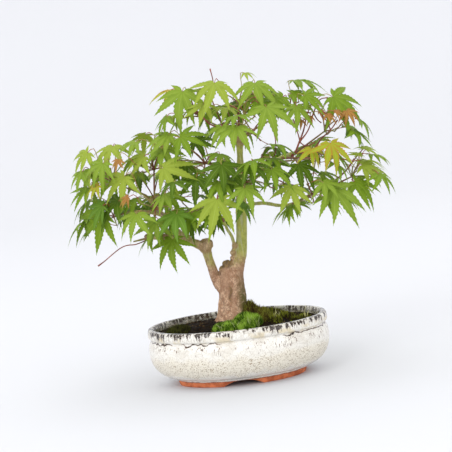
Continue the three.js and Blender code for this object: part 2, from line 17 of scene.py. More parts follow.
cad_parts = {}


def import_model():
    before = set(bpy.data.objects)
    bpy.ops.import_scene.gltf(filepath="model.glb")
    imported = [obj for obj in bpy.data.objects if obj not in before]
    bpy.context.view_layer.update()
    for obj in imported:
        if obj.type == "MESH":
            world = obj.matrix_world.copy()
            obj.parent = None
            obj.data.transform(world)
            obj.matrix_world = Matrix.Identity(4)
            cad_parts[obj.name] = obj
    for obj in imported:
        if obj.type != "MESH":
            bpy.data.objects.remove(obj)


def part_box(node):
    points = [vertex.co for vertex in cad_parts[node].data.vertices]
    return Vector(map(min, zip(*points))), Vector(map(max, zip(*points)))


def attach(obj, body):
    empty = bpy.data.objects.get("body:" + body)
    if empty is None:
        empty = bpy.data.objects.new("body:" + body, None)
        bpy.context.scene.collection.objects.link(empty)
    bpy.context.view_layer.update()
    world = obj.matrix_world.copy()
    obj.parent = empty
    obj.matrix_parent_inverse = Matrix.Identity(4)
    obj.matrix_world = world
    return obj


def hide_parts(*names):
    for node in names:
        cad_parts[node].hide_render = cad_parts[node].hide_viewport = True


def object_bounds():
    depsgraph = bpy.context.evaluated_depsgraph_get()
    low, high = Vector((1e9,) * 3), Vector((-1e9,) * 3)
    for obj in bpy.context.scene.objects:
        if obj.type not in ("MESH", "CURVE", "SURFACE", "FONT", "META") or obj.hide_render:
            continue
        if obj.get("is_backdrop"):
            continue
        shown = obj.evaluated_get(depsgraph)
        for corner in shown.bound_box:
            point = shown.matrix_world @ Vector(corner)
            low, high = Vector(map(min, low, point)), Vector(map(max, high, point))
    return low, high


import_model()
CAD_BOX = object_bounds()

bl_info = {
    "name": "Japanese maple bonsai",
    "version": (1, 0, 0),
    "blender": (4, 5, 0),
    "location": "View3D > Sidebar > Maple",
    "description": "Builds the looks of a japanese maple bonsai in a shallow oval pot",
    "category": "Add Mesh",
}

BODY = "root"
MM = 0.001
DEGREE = math.pi / 180
UP = Vector((0, 0, 1))
# A heading that no limb or twig sets out in
ASKEW = (0.3, 1, 0.2)
POT_LOW, POT_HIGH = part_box("pot")
POT_MIDDLE = np.array([(POT_LOW.x + POT_HIGH.x) / 2, (POT_LOW.y + POT_HIGH.y) / 2, 0])

# Pot: an oval whose half width is narrower than its half length by one amount
NARROWER = (POT_HIGH.x - POT_LOW.x - POT_HIGH.y + POT_LOW.y) / 2 / MM
POT_HEIGHT = POT_HIGH.z / MM
BELLY_HALF = (POT_HIGH.x - POT_LOW.x) / 2 / MM
BELLY_HEIGHT = 32
LIP_HALF = BELLY_HALF - 0.5
LIP_FOOT = 43
GROOVE_HALF = BELLY_HALF - 2.7
GROOVE_HEIGHT = 41
FOOT_HALF = 57
FOOT_WALL = 8
FOOT_HEIGHT = 6
# How much the foot ring narrows down to the ground, inside and outside
FOOT_TAPER = 1
ARCH_WIDTH = 34
ARCH_HEIGHT = 4.5
ARCH_ROUNDNESS = 2.5
# The foot ring's outer face widens upwards, and the glaze ends in a roll that laps over it
FOOT_FLARE = 0.6
GLAZE_LAP = 0.9
GLAZE_ROLL = (2.6, 1.6)
# The point that the belly's curve leans towards
BELLY_LEAN = (BELLY_HALF - 1, 10.5)
LIP_ROUND = 3
WALL = 5.8
# How far the wall's inside leans in at the belly's height, and at its top
WALL_LEAN = (0.6, 0.8)
RIM_WALL = 5.2
FLOOR = 12
FLOOR_HALF = 54
OVAL_SEGMENTS = 240
DRAIN_RADIUS = 6
DRAIN_SPREAD = 30
DRAIN_SIDES = 32
# How far the cutters of the drains reach past the floor
DRAIN_PAST = 4
# Unevenness of the hand-made body, as pairs of depth and width, and of the glaze's lower edge, as depth,
# width and how far up it reaches
UNEVEN = ((0.3, 26), (0.12, 5))
GLAZE_WAVES = (0.6, 6, 1.5)

# Ground: level round the trunk, falling away to the pot's wall
GROUND = 52
GROUND_PROFILE = ((0, 52), (26, 52), (33, 50.6), (38, 49.2), (44, 47.5), (52, 46.2), (74, 45.5))
# Patches of moss: the node that each stands for, its seed, what the number of blades is divided by, and
# its tints: the earth under it, the cushion and darkest blades, lighter blades, and the sprouts
MOSSES = {
    "bright_moss": ("moss_carpet", 3, 1, ("#1a1f0a", "#38540f", "#6f9a1e", "#b0d452", "#dfe6a0")),
    # The bank's olive-brown, right of the trunk, is partly the moss's own colour and partly painted shade
    "bank_moss": ("moss_carpet", 6, 4, ("#2a200e", "#4a3d18", "#6e6426", "#8a8c34", "#a9a468")),
    "dark_moss": ("moss_carpet", 4, 3, ("#19130a", "#30280f", "#4d4a18", "#8f9630", "#ded99a")),
    "olive_moss": ("moss_left", 5, 4, ("#19140b", "#29260f", "#3b3c17", "#50531f", "#b4b070")),
}
# Their cushions: the places of their middles, their half sizes and how high they rise
MOSS_PADS = {
    "bright_moss": (((-2, -25), (21, 12), 3.2), ((9, -19), (13, 10), 6)),
    "bank_moss": (((12, -6), (8, 10), 14), ((20, -8), (11, 12), 8)),
    "dark_moss": (((32, -14), (8, 7), 3), ((51, -13), (8, 6), 2.4), ((43, 3), (10, 7), 3),
                  ((60, 0), (7, 8), 1.6), ((26, 20), (20, 10), 4.6)),
    "olive_moss": (((-51, -6), (13, 17), 3.6),),
}
PAD_GRID = (15, 28)
PAD_LUMPS = (5, 0.09)
MOSS_DEPTH = 4
MOSS_VOXEL = 0.8
MOSS_SMOOTHINGS = 4
# Lumps in the moss, as pairs of depth and width
MOSS_LUMPS = ((0.9, 5), (0.35, 1.6))
# Drifts in its tints, and how low a drift is where the moss stays bare
MOSS_DRIFTS = 6
MOSS_BARE = -0.5
MOSS_EDGE = 0.2
# Drift under which the blades are of the darkest tint, how much more the next tint takes, and how far
# the tints mix
MOSS_DARK = -0.45
MOSS_TINT = 1 / 3.3
MOSS_MIXED = 0.5
# How far blades lean, how far they scatter and how deep they stand
MOSS_LEAN = 0.8
MOSS_SCATTER = 0.5
MOSS_SUNK = 0.2
# Blades: length and half width, and the same of the tall sprouts
MOSS_LENGTH = (1.2, 3.2)
MOSS_HALF = (0.16, 0.32)
# How far up and out a blade's middle and tip are, as shares of its length
MOSS_BEND = ((0.5, 0.2), (0.85, 0.6))
SPROUT_LENGTH = (5, 10)
SPROUT_HALF = (0.24, 0.4)
TUFT_HALF = 1.2
SOIL_GAP = 0.3
SOIL_HALF = 73.5
SOIL_RINGS = 50
SOIL_SEGMENTS = 180
# Lumps in the soil, as pairs of depth and width
SOIL_LUMPS = ((1, 9), (0.5, 2.5))
# Soil and the grit strewn on it: name, two colours, and size of their drifts
EARTHS = (
    ("damp_potting_soil", "#0f0b08", "#22180f", 5), ("dark_grit", "#1d160f", "#33271a", 2),
    ("tan_grit", "#4f4029", "#665537", 2), ("bark_crumb", "#3a2517", "#24170e", 2),
)
GRIT = 1500
GRIT_SEED = 7
GRIT_SIZES = (0.5, 1.25)
GRIT_PROUD = 0.1
# The power that spreads the grit: 0.5 would be even, and a higher one thickens it towards the trunk
GRIT_SPREAD = 0.6
# A stone's corners, and as shares of its size its width, how uneven its corners are, and how far its top
# and its underside are from its middle
PEBBLE_SIDES = 5
PEBBLE_WIDTH = (0.7, 1.1)
PEBBLE_UNEVEN = (0.8, 1.2)
PEBBLE_TOP = (0.5, 0.9)
PEBBLE_UNDER = 0.5
# Tufts of taller sprouts in the moss: x, y and how many blades
SPROUTS = {
    "bright_moss": ((17, -27, 5), (-0.8, -35, 4), (-14, -33, 5), (10, -31, 3)),
    "dark_moss": ((60, -4, 6), (36, 2, 3), (33, -16, 4)),
}

# Trunk and limbs: axes as x, y, z and radius. The rows of LIMBS give a limb's name, the limb that it
# leaves and how far along, where it heads, its radius there, and its axis. One that starts inside its
# carrier has its whole axis there.
TRUNK_AXIS = ((-0.5, 0, 46, 14.6), (-1.4, 0, 61, 12.6), (-1.0, 0, 69, 11.8), (-1.3, 0, 78, 11.7),
              (-1.0, 0, 86.5, 11.8), (1.6, 0, 93.5, 9.4), (5.2, 0, 99, 7.2), (8.2, 0, 104.4, 5.8))
# Root flare: heading of each root in degrees and how far it swells the trunk's foot, how wide it is and
# how high it reaches
ROOTS = ((-6, 6.5), (62, 3.5), (124, 4), (184, 7), (238, 3.5), (292, 4.5))
FLARE_SPREAD = 24 * DEGREE
FLARE_HEIGHT = 6.5
# Low ridges up the trunk: how many, how high, and how far they turn each millimetre
RIDGES = 5
RIDGE_HEIGHT = 0.5
RIDGE_TURN = 0.35
# The stub of the limb that was cut off in the fork
SCAR_AXIS = ((-1, 0, 84, 8), (-4, -1.5, 93, 6), (-6, -3, 99.6, 5))
LIMBS = (
    ("leader", "trunk", 1, None, 5.6, (
        (10.4, 0, 110, 5.2), (12.1, 0.5, 120, 4.8), (13.7, 1, 134, 4.7), (14.9, 1.2, 147, 4.9),
        (16.6, 1.6, 165, 4.1), (17.9, 2, 180, 3.3), (19.1, 2, 194, 2.7), (19.7, 2, 202, 3),
        (20.2, 2, 207.5, 5.9), (20.6, 2, 212, 6.2), (20.9, 2, 216, 3.6))),
    ("left_bough_riser", None, None, None, None, (
        (-8, 0, 78, 5), (-12, 0, 85, 5.2), (-14.4, 0, 91.5, 4.6), (-16.6, -0.3, 100, 3.9),
        (-18.2, -0.7, 108, 3.8), (-19.2, -1, 114, 4.2), (-20.2, -1.3, 118, 5.7), (-24.5, -2, 120.6, 4))),
    ("left_bough_arm", "left_bough_riser", 1, None, 3.9, (
        (-35, -3.5, 126, 3.1), (-43, -4, 130, 2.8), (-56, -5, 131.5, 2.6), (-69, -6, 133.5, 2.5))),
    ("left_bough_upper", "left_bough_arm", 0.3, (-50, 0, 146), 2.2, (
        (-48, 1, 143, 2), (-57, 2, 155, 1.8), (-64, 2, 166, 1.6))),
    ("left_bough_outer", "left_bough_upper", 0.5, (-80, -2, 158), 1.6, (
        (-70, -2, 155.5, 1.5), (-80, -3, 156.5, 1.4))),
    ("left_bough_back", "left_bough_arm", 0.16, (-44, 24, 142), 2, (
        (-40, 14, 139, 1.8), (-48, 26, 150, 1.5))),
    ("upper_right_bough", "leader", 0.66, (42, -1, 188), 2.4, (
        (37, -1, 183.5, 2.2), (53, -2, 188, 2), (66, -2, 191.5, 1.8))),
    ("lower_right_bough", "leader", 0.405, (34, -4, 153), 1.7, (
        (35, -4, 151, 1.6), (49, -6, 147.5, 1.5), (60, -8, 148, 1.4), (76, -8, 154, 1.3),
        (88, -8, 157, 1.2))),
    ("back_bough", "leader", 0.5, (18, 20, 172), 2.4, ((18, 18, 171, 2.1), (17, 33, 178, 1.7))),
    ("front_bough", "leader", 0.47, (17, -18, 168), 2, ((17, -15, 166, 1.8), (19, -27, 171, 1.5))),
    ("small_shoot", None, None, None, None, (
        (8.5, -1, 103, 2), (5.2, -2.6, 107.6, 2.1), (3.7, -3, 111.2, 2.5), (5, -3, 114.2, 1.9),
        (5.7, -3, 116.8, 2.5), (5, -3, 120, 1.5), (4.1, -3.2, 124.5, 1.5), (0.8, -4.5, 132, 1.4),
        (-1.5, -12, 140, 1.3))),
)
# A limb starts so far outside its carrier, with a root inside it. It runs straight for its lead first.
COLLAR = 1.2
GAP = 0.3
LEAD = 2
LEAST_SLANT = 0.5
# The root starts at this share of its carrier's radius and is so much wider than the limb there, and
# so much at the limb's start
ROOT_DEPTH = 0.35
ROOT_WIDTHS = (1.5, 1.12)
# One that leaves its carrier's tip starts so far inside it, at this share of the tip's radius
TIP_DEPTH = 1.5
TIP_SHARE = 0.9
BARK_VOXEL = 0.5
BARK_SMOOTHINGS = 5
BARK_SIDES = 32
LIMB_STEP = 1.5
# The bark's relief: on which bark, depth, width, and share of the width that it keeps along the limb
BARK_RELIEF = (
    ("old", 0.55, 5, 0.3), ("old", 0.28, 1.8, 0.6), ("young", 0.2, 3, 0.4), ("wound", 0.5, 1.5, 1))
# Height and radius of a knot's rings, for a knot one millimetre in radius
KNOT_PROFILE = ((-0.9, 0.5), (-0.4, 1), (0.4, 1), (0.9, 0.5))
# How much of the old bark's colour the left bough keeps, and a knot
ARM_AGE = 0.45
KNOT_AGE = 0.75

# Old wounds and swollen rings in the bark: place, size of the swelling and of the stain, and how dark
WOUNDS = (
    ((-3.4, -2.8, 101.2), 4, 4.3, 0.75), ((-10.5, -4, 94.5), 0.6, 2, 0.5),
    ((-19.2, -2.2, 120.5), 6, 7, 0.04), ((3.2, -3.4, 111), 2.4, 2.8, 0.12),
    ((5.2, -3.6, 117), 2.3, 2.8, 0.16), ((2.2, -3.2, 106.5), 1.9, 2.3, 0.1),
    ((20.4, 2, 210), 4.6, 6.5, 0.2), ((-69.5, -6, 133.5), 2.5, 3, 0.6),
    ((-38, -3.5, 127.6), 2, 3, 0.3), ((-55, -5.5, 131.5), 3, 3.4, 0.35),
)
# Where a stain fades out, as shares of its size
WOUND_EDGE = (0.85, 1.5)
# The crease down the trunk's front, from its top to its foot
CREASE = ((-2.6, 83), (-3.0, 69))
CREASE_WIDTH = 1.3
CREASE_DEPTH = 1.5
# How strongly the crease is darkened: partly its own olive-brown, partly painted shade
CREASE_DARK = 0.65
CREASE_FADE = 4
# It wavers by so much, in a wave that is so many radians a millimetre
CREASE_WAVER = (0.8, 0.5)
# Heights between which the old bark gives way to young, how far that edge wanders, and the left
# bough's part of it
YOUNG_HEIGHTS = (95, 116)
YOUNG_WANDER = 5
ARM_START = (14, 26)

# Foliage: name, its limb and how far along, middle and half sizes of its space, leaves, seed, and
# the tints of its sprays
# The outer and upper masses take lighter tints and the inner, lower and back ones deeper: partly younger
# leaves, partly painted light and shade
MASSES = (
    ("head_top", "leader", 1, (24, -4, 247), (37, 36, 24), 14, 11, "spring fresh fresh"),
    ("head_left", "leader", 0.955, (-20, -6, 237), (37, 38, 25), 10, 12, "spring fresh green"),
    ("head_right", "leader", 0.945, (74, -2, 233), (37, 40, 23), 11, 13, "fresh fresh green"),
    ("head_front", "leader", 0.93, (34, -46, 215), (42, 36, 32), 11, 14, "fresh green green"),
    ("head_back", "leader", 0.93, (26, 48, 222), (44, 38, 34), 12, 15, "fresh green deep"),
    ("centre_front_low", "small_shoot", 1, (-10, -46, 163), (38, 36, 31), 10, 21, "fresh green cool"),
    ("centre_front", "front_bough", 1, (34, -52, 176), (40, 36, 34), 9, 22, "green deep deep"),
    ("centre_left", "leader", 0.66, (-20, -22, 196), (38, 38, 30), 9, 23, "green deep deep"),
    ("back_left", "back_bough", 0.75, (-18, 54, 194), (42, 40, 38), 9, 24, "green deep deep"),
    ("back_right", "back_bough", 1, (48, 60, 178), (44, 40, 40), 12, 25, "green deep deep"),
    ("right_high", "upper_right_bough", 1, (104, 4, 212), (34, 40, 29), 9, 31, "green fresh cool"),
    ("right_middle", "upper_right_bough", 0.72, (88, -28, 186), (38, 38, 30), 8, 32, "fresh green green"),
    ("right_tip", "lower_right_bough", 1, (122, -2, 168), (30, 40, 25), 9, 33, "spring fresh green"),
    ("right_low", "lower_right_bough", 0.66, (82, -26, 158), (42, 38, 25), 10, 34, "fresh green green"),
    ("right_back", "upper_right_bough", 0.5, (98, 46, 182), (42, 40, 40), 11, 35, "fresh green deep"),
    ("left_upper", "left_bough_upper", 0.8, (-56, -2, 200), (40, 40, 26), 12, 41, "spring fresh fresh"),
    ("left_outer", "left_bough_upper", 1, (-102, 0, 188), (37, 42, 29), 9, 42, "spring fresh green"),
    ("left_low", "left_bough_outer", 1, (-106, -4, 152), (35, 40, 28), 7, 43, "green green deep"),
    ("left_front", "left_bough_upper", 0.45, (-60, -42, 162), (42, 38, 34), 10, 44, "fresh green deep"),
    ("left_inner", "left_bough_arm", 0.55, (-48, -18, 133), (32, 36, 22), 5, 45, "green cool deep"),
    ("left_back", "left_bough_back", 1, (-70, 50, 172), (46, 40, 40), 11, 46, "fresh green deep"),
    ("left_back_low", "left_bough_back", 0.6, (-26, 54, 150), (40, 38, 34), 10, 47, "green deep deep"),
    ("left_shoot", "left_bough_arm", 0.9, (-88, -8, 130), (34, 38, 18), 2, 48, "fresh green green"),
)
# Leaves that stand out from the front, grown first by the nearest mass: where the stalk meets the
# blade, the middle lobe's heading from the right anticlockwise, how far the blade leans back, both in
# degrees, its length and its tint
SEATS = (
    ((-112, -8, 212), -130, 42, 26, "spring"),
    ((-98, -30, 202), -122, 37, 28, "fresh"),
    ((-90, -3, 215), -90, 62, 31, "spring"),
    ((-81, -34, 189), -126, 40, 31, "spring"),
    ((-63, -20, 204), -150, 48, 27, "spring"),
    ((-47, -42, 193), -22, 42, 31, "spring"),
    ((-24, -20, 255), -108, 28, 37, "fresh"),
    ((-40, -23, 220), -128, 54, 29, "fresh"),
    ((-30, -36, 217), -18, 52, 31, "green"),
    ((-5, -64, 163), -98, 36, 38, "spring"),
    ((19, -66, 170), -72, 52, 28, "fresh"),
    ((58, -50, 165), -92, 40, 29, "spring"),
    ((93, -46, 160), -66, 32, 39, "fresh"),
    ((114, -22, 162), -52, 40, 31, "green"),
    ((123, -14, 175), -28, 50, 31, "spring"),
    ((128, 14, 177), 28, 80, 27, "spring"),
    ((127, -16, 188), 34, 60, 20, "spring"),
    ((119, -23, 184), 75, 56, 15, "spring"),
    ((95, -44, 198), -87, 34, 31, "amber"),
    ((79, -40, 195), -108, 42, 21, "amber"),
    ((104, -14, 236), -42, 42, 40, "green"),
    ((114, -20, 223), -80, 42, 18, "russet"),
    ((90, -22, 225), -10, 52, 11, "russet"),
    ((75, -16, 219), -150, 52, 11, "russet"),
    ((82, -20, 222), -120, 40, 10, "russet"),
    ((96, -30, 222), -60, 50, 12, "russet"),
    ((103, -28, 224), -20, 60, 12, "russet"),
    ((88, -14, 231), 20, 60, 9, "russet"),
    ((-84, -40, 204), -100, 40, 12, "russet"),
    ((-79, -47, 172), -150, 44, 12, "russet"),
    ((69, -9, 243), -16, 62, 29, "green"),
    ((45, -42, 234), -80, 46, 36, "fresh"),
    ((4, -30, 259), -105, 54, 36, "spring"),
    ((38, -26, 255), -94, 50, 33, "fresh"),
    ((31, -6, 265), -50, 76, 13, "spring"),
    ((73, 2, 254), -14, 84, 34, "green"),
    ((-34, 7, 258), -126, 80, 28, "amber"),
    ((-103, -18, 159), -150, 14, 40, "green"),
    ((-90, -18, 168), -156, 54, 34, "deep"),
    ((-74, -46, 157), -95, 42, 30, "fresh"),
    ((-47, -30, 131), -92, 26, 30, "green"),
    ((-40, -52, 154), -92, 46, 30, "cool"),
    ((2, -55, 191), -90, 40, 31, "deep"),
    ((25, -62, 188), -80, 46, 26, "deep"),
    ((43, -57, 182), -88, 52, 26, "green"),
    ((67, -34, 183), -62, 42, 28, "deep"),
    ((6, -35, 222), -90, 32, 23, "fresh"),
    ((-104, -30, 184), -150, 52, 18, "amber"),
    ((61, -17, 241), -150, 46, 25, "green"),
    ((79, -31, 240), -32, 44, 26, "green"),
    ((71, -28, 232), -95, 40, 24, "fresh"),
    ((52, -23, 241), -100, 48, 24, "green"),
    ((-18, -2, 212), -28, 50, 26, "deep"),
    ((-103, -24, 166), -150, 36, 26, "cool"),
    ((-58, -41, 149), -120, 40, 28, "fresh"),
    ((-20, -40, 182), -100, 40, 28, "deep"),
)
# How far such a leaf turns outwards for each millimetre from the crown's middle, and how its blade bends
SEAT_TURN = 0.25 * DEGREE
SEAT_BEND = (0.34, 0.42)
# Its stalk's foot: how far it wanders and lifts, and what each millimetre above the blade counts
# against it. Its twig rises by this share of its length.
SEAT_WANDER = 0.5
SEAT_LIFT = 0.3
SEAT_RISE = 3
SEAT_ARCH = 0.06
# Gaps where the photo shows sky, or wood, through the crown: x and z where they show on the upright
# plane through the trunk, and how wide
GAPS = (
    (15, 251, 5.5), (5, 246, 3.5), (-17, 228, 5.5), (-19, 244, 3.5), (5, 205, 7), (14, 203, 4.5),
    (-24, 200, 5.5), (66, 205, 7), (91, 212, 8), (81, 229, 4.5), (-59, 195, 5.5), (-55, 176, 4.5),
    (-95, 199, 4.5), (-25, 159, 4.5), (-33, 159, 3.5), (-98, 153, 4.5), (-104, 161, 3), (-71, 139, 5.5),
    (36, 170, 4.5), (25, 193, 3.5), (73, 165, 4.5), (81, 180, 5.5), (117, 188, 10), (113, 171, 5.5),
    (48, 155, 6), (34, 155, 4.5), (21, 199, 3.5), (20, 191, 3), (-8, 112, 10), (-99, 124, 9),
    (34, 227, 3.5), (47, 207, 3.5), (-80, 192, 3),
)
# Red shoots and bare twigs that show among the leaves: part of the crown, radius at the foot, and line
SHOOTS = (
    ("right", 1.08, ((64, -3, 189), (67, -6, 192), (71, -8, 200), (76, -8, 210), (80, -9, 222),
                     (85, -8, 232))),
    ("right", 0.72, ((71, -8, 200), (80, -9, 210), (86, -9, 224))),
    ("right", 0.58, ((72, -8, 202), (70, -8, 213), (68, -8, 221))),
    ("right", 0.58, ((71, -8, 201), (77, -8, 196.5), (85, -8, 199))),
    ("right", 0.94, ((66, -3, 191), (81, -10, 192), (91, -12, 202), (99, -12, 208), (106, -12, 216))),
    ("right", 0.58, ((99, -12, 208), (97, -12, 215), (93, -12, 222))),
    ("right", 0.58, ((86, -9, 224), (93, -8, 235), (100, -8, 236))),
    ("right", 0.58, ((86, -9, 224), (89, -9, 218), (92, -9, 215))),
    ("right", 1.15, ((86, -8, 157), (95, -10, 162), (104, -12, 168), (111, -12, 174), (117, -10, 181))),
    ("right", 0.6, ((111, -12, 174), (120, -8, 183), (128, -4, 190))),
    ("head", 1.01, ((18, 0, 211), (7, -8, 219), (-4, -14, 225), (-9, -16, 231), (-16, -18, 242),
                    (-18, -18, 251))),
    ("head", 0.58, ((-9, -16, 231), (-15, -18, 237.5), (-23, -18, 249))),
    ("head", 0.58, ((-9, -16, 231), (-17, -18, 237), (-24, -18, 242))),
    ("head", 1.01, ((20.6, 0, 213), (21, -8, 224), (21, -12, 235), (15, -14, 239), (9, -16, 246))),
    ("head", 0.65, ((21, -12, 235), (26, -12, 240), (30, -12, 245))),
    ("head", 0.65, ((7, -8, 219), (4, -14, 232), (2, -16, 239), (0.3, -18, 245))),
    ("head", 0.5, ((0.3, -18, 245), (3, -9, 260), (1.7, -6, 272))),
    ("centre", 0.65, ((40, -1, 185), (44, -14, 188), (49, -30, 195), (50, -30, 205), (49, -30, 216))),
    ("left", 0.5, ((-66, -6, 133), (-72, -12, 130.6), (-80, -18, 129), (-86, -22, 129.6), (-92, -22, 128),
                   (-99.5, -22, 123.5), (-106, -22, 119), (-113.5, -22, 114.5))),
)
# Leaf tints: colour, colour of the edge, and how large such a leaf grows beside a full-grown one
# Spring and fresh are lighter and deep darker; where they are dealt out by place they stand partly for
# painted light and shade
TINTS = {
    "spring": ("#98aa3c", "#8d9e37", 0.95),
    "fresh": ("#869f34", "#79942e", 1),
    "green": ("#779323", "#6a871d", 1),
    "cool": ("#688b2c", "#5c7f25", 1),
    "deep": ("#567217", "#496412", 1),
    "amber": ("#9fae2c", "#bd7535", 0.85),
    "russet": ("#ad8240", "#98502e", 0.62),
}
LEAF_GLOW = 0.28
# Parts of the crown: the masses of each have names that start so
CROWN_PARTS = ("head", "centre", "back", "right", "left")

# Twigs of a mass: how many it may grow, ways tried for each, lengths of the first and of the finer ones,
# how many orders of those, how far their tips stay inside the space, and how strongly they keep on
TWIG_MOST = 10
TWIG_TRIES = 20
TWIG_LENGTH = (8, 22)
FINER_LENGTH = (7, 15)
FINER_ORDERS = 2
TWIG_INSET = 3
TWIG_ONWARD = 0.5
FINER_ONWARD = 1.4
# How far down or up a twig may head, how far its middle rises for its length, and the sine of its angle
# with the upright under which it is so steep that its leaves part to front and back
TWIG_RISE = (-0.6, 0.8)
TWIG_ARCH = 0.05
TOO_STEEP = 0.3
TWIG_RADIUS = 0.62
TIP_RADIUS = 0.42
TWIG_TAPER = 0.12
STEM_RADIUS = 1
HUB_SHARE = 0.35
# A twig or stalk starts so far from the middle of its node
NODE_START = 0.4
# Swellings where a twig starts and where its leaves part: how much wider, and share of its length
FOOT_SWELLING = (0.35, 0.08)
TIP_SWELLING = (0.6, 0.09)
# Leaf stalks: length, radius, turn from the twig and its spread, sag and the droop of the last stretch
STALK_LENGTH = (11, 22)
STALK_RADIUS = 0.34
STALK_SWING = 75 * DEGREE
SWING_SPREAD = (0.7, 1.15)
STALK_SAG = 0.3
STALK_HANG = 0.35
# How far a stalk strays sideways from its heading, and up or down
STRAY = 0.3
STRAY_RISE = (-0.25, 0.35)
# Leaf blades: how far they hang and roll
DROOP = (4 * DEGREE, 46 * DEGREE)
ROLL = 24 * DEGREE
# How far a blade bends along its length, in radians, and how much more one that lies flat does
BEND = (0.2, 0.6)
BEND_FLAT = 0.45
# Half thickness of the space that a blade keeps to itself
PROXY_THICKNESS = 0.6
# Lobes of half a leaf, as degrees from the middle one and length, and lengths at the notches
LOBES = ((0, 1), (38, 0.95), (76, 0.78), (113, 0.38))
NOTCH = 0.21
BASE_NOTCH = 0.1
# Leaves face away from the crown's middle, and the ones near the front a little more to the front
CROWN_AXIS_X = 12
OUTWARD = 0.8
FRONT_TURN = 0.45
FRONT_DEPTH = 14
TRIES = 50
# How far blades may reach into the next mass's space, and their stalks' ends stay inside their own
SPILL = 18
BASE_INSET = 1
REGROWTHS = 3
SEED_STEP = 100
MOST_SHAPES = 4000
# Room round a new leaf or twig, and the share of it at its foot that may touch others
LEAF_ROOM = 0.35
ROOT_SHARE = 0.3
# Rows and sides of the plain tubes that stand for limbs and stems while leaves look for room, and sides
# of those for twigs and stalks
LIMB_PROXY = (12, 6)
STEM_PROXY = (4, 4)
PROXY_SIDES = 3
# Rows and sides of the finished stems, twigs, shoots and stalks
STEM_GRID = (10, 8)
TWIG_GRID = (9, 6)
SHOOT_GRID = (20, 6)
STALK_GRID = (8, 5)
# Blade mesh: rows from the stalk to a notch, and from there to a lobe's tip, with a tooth every few
PALM_ROWS = 3
LOBE_ROWS = 24
TOOTH_ROWS = 3
TOOTH = 0.036
LOBE_SWELL = 0.42
LOBE_TAPER = 1.65
BLADE_FOLD = 0.3
# How a leaf's lobes differ: in degrees of their heading, length, curl and sway
LOBE_TURN = 6
LOBE_LENGTHS = (0.86, 1.06)
LOBE_CURL = (-0.06, 0.3)
LOBE_SWAY = 0.3
LOBE_SEED = 7
# Angle from the outermost lobes to the blade's edge at the stalk
FOOT_TURN = 26 * DEGREE

# Camera: at the photograph's angle, rolled as the tree leans in it. Aim in millimetres, the rest in metres.
CAMERA_AIM = (0, 12.1, 133.4)
CAMERA_DISTANCE = 1.2
CAMERA_ELEVATION = 5.2 * DEGREE
CAMERA_ROLL = 6.5 * DEGREE
EYE = np.array((CAMERA_AIM[0], CAMERA_AIM[1] - CAMERA_DISTANCE / MM * math.cos(CAMERA_ELEVATION),
                CAMERA_AIM[2] + CAMERA_DISTANCE / MM * math.sin(CAMERA_ELEVATION)))
# Focal length in millimetres
LENS = 107.9
# Soft lamps: name, place and width in metres, and power in watts
LAMPS = (
    ("key", (-1.8, -2.9, 1.9), 2.1, 55),
    ("fill", (2.3, -2.5, 0.8), 2.5, 22),
    ("top", (0.2, 0.7, 3.3), 2.1, 13),
)
LAMP_AIM = (0, 0, 0.12)
# The floor, in metres: how far it is level, and the radius of its rise
FLOOR_REACH = 2
FLOOR_RISE = 2.5
FLOOR_SIDES = 96

# Sizes of the patterns in the materials
GLAZE_CLOUDS = 14
GLAZE_DRIFTS = 7
GLAZE_SPREAD = 9
GLAZE_PEEL = 5
GLAZE_RUNS = 0.9
FINE_SPECKS = 1
IRON_SPOTS = 3.4
LIP_DASHES = 2.9
DASH_EDGES = 1
GROOVE_WANDER = 6
GROOVE_BREAKS = 18
RIM_MOTTLE = 1.8
CRACKLE = 5
CLAY_PATCHES = 7
CLAY_GRIT = 0.7
EARTH_GRAIN = 0.8
BARK_PATCHES = 4
BARK_SCALES = 1.6
BARK_GRAIN = 0.6
BARK_FLECKS = 8
YOUNG_LINES = 1.5
LEAF_MOTTLE = 9


def linear(colour):
    """An sRGB hex value as linear red, green, blue and alpha"""
    parts = [int(colour[place:place + 2], 16) / 255 for place in (1, 3, 5)]
    return [part / 12.92 if part <= 0.04045 else ((part + 0.055) / 1.055) ** 2.4 for part in parts] + [1]


def random_source(seed):
    """Repeatable random numbers: each call gives the next one between low and high"""
    state = seed % 2 ** 32

    def draw(low, high):
        nonlocal state
        state = (state * 1664525 + 1013904223) % 2 ** 32
        return low + (high - low) * state / 2 ** 32
    return draw


def ripple(points, size, octaves=3):
    """Smooth noise between about -1 and 1 at each point, with features of the given size"""
    return np.array([noise.fractal(Vector(point / size), 1.0, 2.0, octaves) for point in points])


def smooth_step(values, low, high):
    """Rises smoothly from 0 at low to 1 at high"""
    share = np.clip((values - low) / (high - low), 0, 1)
    return share * share * (3 - 2 * share)


class Shell:
    """Gathers the points and faces of one piece"""

    def __init__(self):
        self.points, self.faces, self.slots, self.values = [], [], [], []
        self.count = 0

    def add(self, points, faces, slot=0, value=0.0):
        points = np.asarray(points, float)
        self.points.append(points)
        self.values.append(np.broadcast_to(value, len(points)))
        self.faces.extend([corner + self.count for corner in face] for face in faces)
        self.slots.extend([slot] * len(faces))
        self.count += len(points)

    def piece(self, name, materials, record_slot, attribute=None, smooth=True):
        points = np.vstack(self.points) * MM + POT_MIDDLE
        mesh = bpy.data.meshes.new(name)
        mesh.from_pydata(points.tolist(), [], self.faces)
        mesh.polygons.foreach_set("use_smooth", [smooth] * len(mesh.polygons))
        mesh.polygons.foreach_set("material_index", self.slots)
        for material in materials:
            mesh.materials.append(material)
        if attribute:
            values = mesh.attributes.new(attribute, "FLOAT", "POINT")
            values.data.foreach_set("value", np.concatenate(self.values))
        mesh.update()
        made = bpy.data.objects.new(name, mesh)
        bpy.context.scene.collection.objects.link(made)
        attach(made, BODY)
        return made


def band_faces(rows, sides):
    """The faces between rings of points, each ring after the one below"""
    faces = []
    for low in range(0, (rows - 1) * sides, sides):
        for side in range(sides):
            after = (side + 1) % sides
            faces.append((low + side, low + after, low + sides + after, low + sides + side))
    return faces


